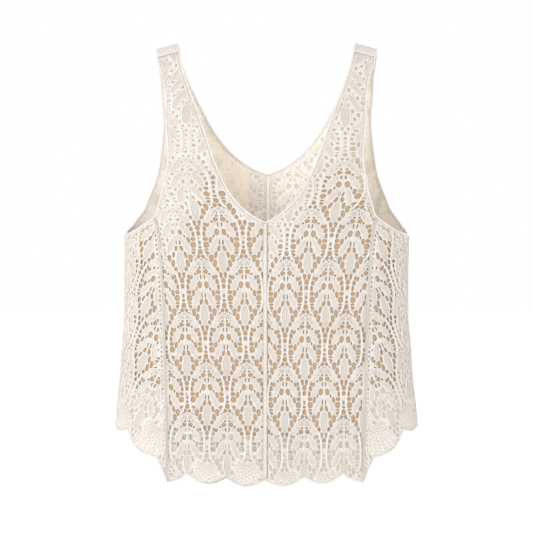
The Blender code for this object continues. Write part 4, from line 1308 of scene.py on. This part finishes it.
            # a pit's floor is painted shade, or the lining's tan, where a gap would show the inside
            if light:
                draft.faces += pit_faces(front, draft.count)
                draft.add(rim, PIT, light, [])
                if self.plain_inside(loop.mean(axis=0)):
                    draft.faces.append(tuple(back))
                    continue
                draft.faces += pit_faces(back, draft.count)
                draft.add(rim, -PIT, max(light, DARK_PIT) if self.half.shell.facing > 0 else light,
                          [])
                continue
            middle = range(draft.count, draft.count + len(loop))
            for k in range(len(loop)):
                k_next = (k + 1) % len(loop)
                draft.faces += [(front[k], front[k_next], middle[k_next], middle[k]),
                                (middle[k], middle[k_next], back[k_next], back[k])]
            draft.add(rim, 0.0, NET_PAINTED_LIGHT, [])
        return draft

    def rim(self, loop):
        """The middle of the lip round a gap, or round the panel's outline."""
        if loop is self.outline:
            return loop - OUTER_LIP * (hold_inside(loop, loop, 1.0)[0] - loop)
        middle = loop.mean(axis=0)
        reach = norm(loop - middle)[:, None]
        return middle + (loop - middle) * np.maximum(1 - LIP / reach, LEAST_SPOKE)


def triangulate(loops, grid):
    """The flat net inside the first loop and outside the others, through the grid's points.

    Returns its points, the loop that each is on or -1, each loop's points in it, and its faces.
    """
    points, edges, loop_of = [], [], []
    for number, loop in enumerate(loops):
        first = len(points)
        points += [tuple(point) for point in loop]
        edges += [(first + k, first + (k + 1) % len(loop)) for k in range(len(loop))]
        loop_of += [number] * len(loop)
    points += [tuple(point) for point in grid]
    loop_of += [-1] * len(grid)
    result = delaunay_2d_cdt(points, edges, [], 0, 1e-5)
    flat = np.array([tuple(vertex) for vertex in result[0]])
    origin = np.array([loop_of[source[0]] if source else -1 for source in result[3]])
    place_of = {source: k for k, sources in enumerate(result[3]) for source in sources}
    ends = np.cumsum([len(loop) for loop in loops])
    rings = [[place_of[k] for k in range(end - len(loop), end)] for loop, end in zip(loops, ends)]
    faces = np.array([tuple(face) for face in result[2]])
    owner, middles = origin[faces], flat[faces].mean(axis=1)
    in_gap = (owner[:, 0] == owner[:, 1]) & (owner[:, 1] == owner[:, 2]) & (owner[:, 0] > 0)
    for k in np.flatnonzero(in_gap):
        in_gap[k] = inside(middles[k:k + 1], loops[owner[k, 0]])[0]
    faces = faces[~in_gap & inside(middles, loops[0])]
    return flat, origin, rings, [tuple(face) for face in faces.tolist()]


def pit_faces(ring, first):
    """A pit's wall from a ring of points to new ones, numbered from first on, and its floor."""
    size = len(ring)
    wall = [(ring[k], ring[(k + 1) % size], first + (k + 1) % size, first + k)
            for k in range(size)]
    return wall + [tuple(range(first, first + size))]


def declare(nodes, outline):
    """Hide the solids that a piece stands for; the size that its cloth was cut to is worked out but
    not kept.
    """
    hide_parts(*nodes)
    width, length = np.ptp(outline, axis=0) * MM
    min(abs(area(outline)) * MM * MM, float(width * length))


HANDS = (("right", 1.0), ("left", -1.0))


def build_panels(side_name, half, templates):
    """The centre panel and the side panel of the front or the back, at each hand."""
    shell = half.shell
    leaf = shell.cloth([SIDE_LEAF])[0]
    side_apex = leaf - END_LEAF_MIDDLE * np.array([math.sin(SIDE_TURN), math.cos(SIDE_TURN)])

    def laid(lace):
        return side_apex + turned(lace, -SIDE_TURN)

    for hand, sign in HANDS:
        centre, outer = half.panels()
        for name, outline, hang, turn, seam_side in (
                (f"{side_name}_panel", centre, hanging(shell, hand), 0.0, "centre"),
                (f"side_{side_name}_panel", outer, laid, -SIDE_TURN, "side")):
            panel = Panel(half, outline, hang, turn, seam_side, hand)
            if seam_side == "side":
                panel.draw_seam_ladder()
            panel.draw_edge_cords()
            panel.draw_sprays(*templates)
            panel.draw_slits()
            net = panel.net().build(f"{name}_{hand}_lace", shell, sign, "lace")
            leaves = panel.raised.build(f"{name}_{hand}_leaves", shell, sign, "lace")
            declare([f"{name}_{hand}"], outline)


def build_shoulder_bands(front, back):
    """The strap over the shoulder, ribbed along its length, with a corded seam at each end."""
    rows = []
    for half, order in ((front, 1), (back, -1)):
        steps = np.linspace(0, 1, STRAP_ROWS)
        ends = [points_at(steps, lengths(edge) / lengths(edge)[-1], edge)
                for edge in half.shoulder_edges()]
        share = np.linspace(0, 1, STRAP_COLUMNS)[:, None]
        part = [half.shell.point(inner + (outer - inner) * share) for inner, outer in zip(*ends)]
        rows += part if order == 1 else part[::-1][1:]
    grid = np.array(rows)
    across = np.linspace(0, 1, grid.shape[1])[None, :]
    along = np.linspace(0, 1, grid.shape[0])[:, None]
    wave = STRAP_WAVE * np.sin(2 * np.pi * STRAP_WAVES * along)
    ribs = 0.5 + 0.5 * np.cos(2 * np.pi * (STRAP_RIBS * across + wave))
    loops = 0.5 + 0.5 * np.cos(2 * np.pi * STRAP_LOOPS * along)
    seams = sum(np.exp(-((along - place) / STRAP_SEAM_WIDTH) ** 2)
                for place in (STRAP_SEAM_PLACE, 1 - STRAP_SEAM_PLACE))
    lumps = np.random.default_rng(SEED).uniform(
        0, 1, (grid.shape[0] // LUMP_STEP + 2, STRAP_LUMPS))
    rows, columns = np.arange(grid.shape[0]) / LUMP_STEP, np.arange(grid.shape[1]) / LUMP_STEP
    lump = np.array([np.interp(columns, np.arange(STRAP_LUMPS), lumps[int(r)] * (1 - r % 1)
                               + lumps[int(r) + 1] * (r % 1)) for r in rows])
    rise = (RIB_RISE * ribs * (0.6 + 0.4 * loops) + LUMP_RISE * lump * (1 - seams)
            + STRAP_SEAM_RISE * seams)
    width = norm(grid[0, 0] - grid[0, -1])
    length = lengths(grid[:, 0]).max()
    for hand, sign in HANDS:
        # painted light and shade: the higher the strap's surface stands, the lighter it is painted
        piece = relief_sheet(f"shoulder_band_{hand}_strap", grid * (sign, 1, 1), rise,
                             STRAP_THICKNESS, np.clip(0.3 + 1.6 * rise, 0, 1), "lace",
                             upwards=(0, 0, 1))
        flat = np.array([(0, 0), (width, 0), (width, length), (0, length)])
        declare([f"shoulder_band_{hand}"], flat)


def strip(half, down, across, out, sign=1):
    """Lines in space down the cloth, from the rows of places across it."""
    return [half.shell.point(np.column_stack([sign * row, down]), out) for row in across]


def band(name, lines, twin=True):
    """A raised band through lines down the cloth, with a ridge at each edge or in the middle."""
    grid = np.stack(lines, axis=1)
    across = np.linspace(-1, 1, len(lines))[None, :]
    ridges = (np.exp(-((abs(across) - RIDGE_PLACE) / RIDGE_WIDTH) ** 2) if twin
              else np.cos(across * np.pi / 2))
    stitch = STITCH_RISE * (np.arange(len(grid))[:, None] % 2)
    worn = np.random.default_rng(SEED).uniform(0.75, 1.0, grid.shape[:2])
    # painted highlight on the ridges and painted shade between them, times a random worn tone
    light = (0.2 + 0.6 * ridges if twin else 0.45 + 0.4 * ridges) * worn
    return relief_sheet(name, grid, BAND_RISE * ridges + stitch * ridges, BAND_THICKNESS,
                        np.clip(light, 0, 1), "lace")


def build_centre_seam(side_name, half):
    """The lapped band on a centre seam, and the tapes along it."""
    top, foot = half.panels()[0][0, 1], half.edge("hem", EDGE_INSET)[0, 1]
    down = np.arange(top + 0.5, foot - 0.5, BAND_STEP)
    places = np.linspace(-CENTRE_BAND_WIDTH / 2, CENTRE_BAND_WIDTH / 2, BAND_LINES)
    piece = band(f"{side_name}_centre_placket",
                 strip(half, down, [np.full(len(down), x) for x in places], BAND_OUT), twin=False)
    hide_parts(f"{side_name}_centre_band")
    for name, places, out, rise, finish, inner in CENTRE_TAPES[side_name]:
        tape = strip(half, down, [np.full(len(down), x) for x in places], out)
        relief_sheet(name, np.stack(tape, axis=1), rise, TAPE_THICKNESS, 1.0, finish, inner=inner)


def build_side_seams(side_name, half):
    """The raised bands between the centre and side panels, with a tape inside each back one."""
    armhole, foot = (cut(half.edge(name, EDGE_INSET), half.off_seam)[0][-1, 1]
                     for name in ("armhole", "hem"))
    down = np.arange(armhole + 3.5, foot - 2.5, BAND_STEP)
    seam = half.seam(down)
    places = np.linspace(-SEAM_BAND_WIDTH / 2, SEAM_BAND_WIDTH / 2, BAND_LINES) * SIDE_BAND_SHARE
    for hand, sign in HANDS:
        piece = band(f"side_{side_name}_seam_{hand}_band",
                     strip(half, down, [seam + x for x in places], SIDE_OUT, sign))
        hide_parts(f"side_{side_name}_seam_{hand}")
        if side_name == "back":
            tape = strip(half, down, [seam + x for x in SIDE_TAPE_PLACES], SIDE_TAPE_OUT, sign)
            # the tape has beige painted warm light (inner 2)
            relief_sheet(f"side_back_seam_{hand}_inside", np.stack(tape, axis=1), 0.0,
                         SIDE_TAPE_THICKNESS, 0.55, "lace", inner=2)


def build_under_arm_seams(front, back):
    """The bands on the side seams, half of each on the front and half on the back."""
    tops, feet = ([half.edge(name, EDGE_INSET)[-1, 1] + inwards for half in (front, back)]
                  for name, inwards in (("armhole", 0.5), ("hem", -0.5)))
    count = round((feet[0] - tops[0]) / BAND_STEP)
    sides = []
    for half, top, foot in zip((front, back), tops, feet):
        down = np.linspace(top, foot, count)
        places = np.linspace(0, SEAM_BAND_WIDTH / 2, BAND_LINES // 2 + 1)
        sides.append(strip(half, down, [half.shell.side(down) - x for x in places], BAND_OUT))
    lines = sides[0][::-1] + sides[1][1:]
    for hand, sign in HANDS:
        piece = band(f"side_seam_{hand}_band", [line * (sign, 1, 1) for line in lines])
        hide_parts(f"side_seam_{hand}")


def build_edgings(front, back):
    """Closed cords along the neck, each armhole and the hem."""
    flip = np.array([-1.0, 1.0, 1.0])

    def line(half, name, out):
        return half.shell.point(half.edge(name, CORD_RADIUS), out)

    def round_body(name, out=0.0):
        part = np.vstack([line(front, name, out), line(back, name, out)[-2::-1]])
        return np.vstack([part, (part * flip)[-2:0:-1]])

    def round_arm(out=0.0):
        return np.vstack([line(front, "armhole", out), line(back, "armhole", out)[-2:0:-1]])

    for name in ("neck", "hem"):
        middle = round_body(name)
        cord = edge_cord(f"{name}_edging_cord", middle, round_body(name, 1.0) - middle,
                         CORD_SWELLS[name])
        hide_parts(f"{name}_edging")
    middle = round_arm()
    normal = round_arm(1.0) - middle
    for hand, sign in HANDS:
        cord = edge_cord(f"armhole_edging_{hand}_cord", middle * (sign, 1, 1),
                         normal * (sign, 1, 1), CORD_SWELLS["armhole"])
        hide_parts(f"armhole_edging_{hand}")


def build_lining(front, back):
    """A plain slip inside the lace, from below the neck to above the hem."""
    for side_name, half in (("front", front), ("back", back)):
        shell = half.shell
        share = np.linspace(-1, 1, LINING_COLUMNS)
        top, foot = (np.interp(abs(share), line[:, 0] / line[-1, 0], line[:, 1])
                     for line in (half.lining_top, half.lining_foot))
        rows = []
        for step in np.linspace(0, 1, LINING_ROWS):
            down = top * (1 - step) + foot * step
            rows.append(np.column_stack([share * (shell.side(down) - SEAM_GAP), down]))
        flat = np.array(rows)
        grid = np.array([shell.point(row, -LINING_DEPTH) for row in flat])
        piece = relief_sheet(f"lining_{side_name}_slip", grid, 0.0, LINING_THICKNESS,
                             LINING_LIGHT, "lining")
        outline = np.vstack([flat[0], flat[-1][::-1]])
        declare([f"lining_{side_name}"], outline)


# ================ the studio
def build_studio():
    """A plain pale floor, white surroundings and soft lamps."""
    scene = bpy.context.scene
    world = bpy.data.worlds.new("studio")
    world.use_nodes = True
    world.node_tree.nodes["Background"].inputs["Color"].default_value = (1.0, 1.0, 1.0, 1.0)
    world.node_tree.nodes["Background"].inputs["Strength"].default_value = 1.0
    scene.world = world
    scene.view_settings.view_transform = "Standard"
    floor = bpy.data.meshes.new("studio_floor")
    floor.from_pydata([(x * FLOOR_REACH, y * FLOOR_REACH, FLOOR_HEIGHT)
                       for x, y in ((-1, -1), (1, -1), (1, 1), (-1, 1))], [], [(0, 1, 2, 3)])
    paper = bpy.data.materials.new("white_paper")
    paper.use_nodes = True
    shader = paper.node_tree.nodes["Principled BSDF"]
    shader.inputs["Base Color"].default_value = (FLOOR_GREY, FLOOR_GREY, FLOOR_GREY, 1)
    shader.inputs["Roughness"].default_value = 0.9
    shader.inputs["Specular IOR Level"].default_value = 0.0
    shader.inputs["Emission Color"].default_value = (1, 1, 1, 1)
    shader.inputs["Emission Strength"].default_value = FLOOR_GLOW
    floor.materials.append(paper)
    stage = bpy.data.objects.new("studio_floor", floor)
    scene.collection.objects.link(stage)
    for name, place, target, size, power, colour in LAMPS:
        lamp = bpy.data.lights.new(name, "AREA")
        lamp.size, lamp.energy, lamp.color = size, power, colour
        light = bpy.data.objects.new(name, lamp)
        scene.collection.objects.link(light)
        light.location = place
        light.rotation_mode = "QUATERNION"
        light.rotation_quaternion = (Vector(target) - Vector(place)).to_track_quat("-Z", "Y")


def build_camera():
    """A long lens in front of the garment, level and a little to the right."""
    eye = bpy.data.cameras.new("camera")
    eye.sensor_width = SENSOR_WIDTH
    eye.lens = SENSOR_WIDTH * CAMERA_DISTANCE / FRAME_WIDTH
    eye.clip_end = 100.0
    camera = bpy.data.objects.new("camera", eye)
    bpy.context.scene.collection.objects.link(camera)
    camera.location = (CAMERA_DISTANCE * math.sin(CAMERA_AZIMUTH),
                       -CAMERA_DISTANCE * math.cos(CAMERA_AZIMUTH), CAMERA_HEIGHT)
    camera.rotation_euler = (math.radians(90), 0, CAMERA_AZIMUTH)
    bpy.context.scene.camera = camera


def main():
    """The studio, then each piece from the inside of the lace out."""
    build_camera()
    build_studio()
    front = Cut(FRONT_PROFILE, -1, NECK_FRONT, ARMHOLE_FRONT, FRONT_SEAM_LINE, LINING_TOP_FRONT)
    back = Cut(BACK_PROFILE, 1, NECK_BACK, ARMHOLE_BACK, BACK_SEAM_LINE, LINING_TOP_BACK)
    leaves = [leaf_shape(row, PAIRED_RIBS, hand) for row in PAIRED_LEAVES for hand in (1, -1)]
    end_leaves = [leaf_shape(END_LEAF, END_RIBS, 1, length) for length in END_LEAF_LENGTHS]
    templates = (Repeat().rings(), leaves, end_leaves)
    for side_name, half in (("front", front), ("back", back)):
        build_panels(side_name, half, templates)
    build_shoulder_bands(front, back)
    for side_name, half in (("front", front), ("back", back)):
        build_centre_seam(side_name, half)
        build_side_seams(side_name, half)
    build_under_arm_seams(front, back)
    build_edgings(front, back)
    build_lining(front, back)


main()
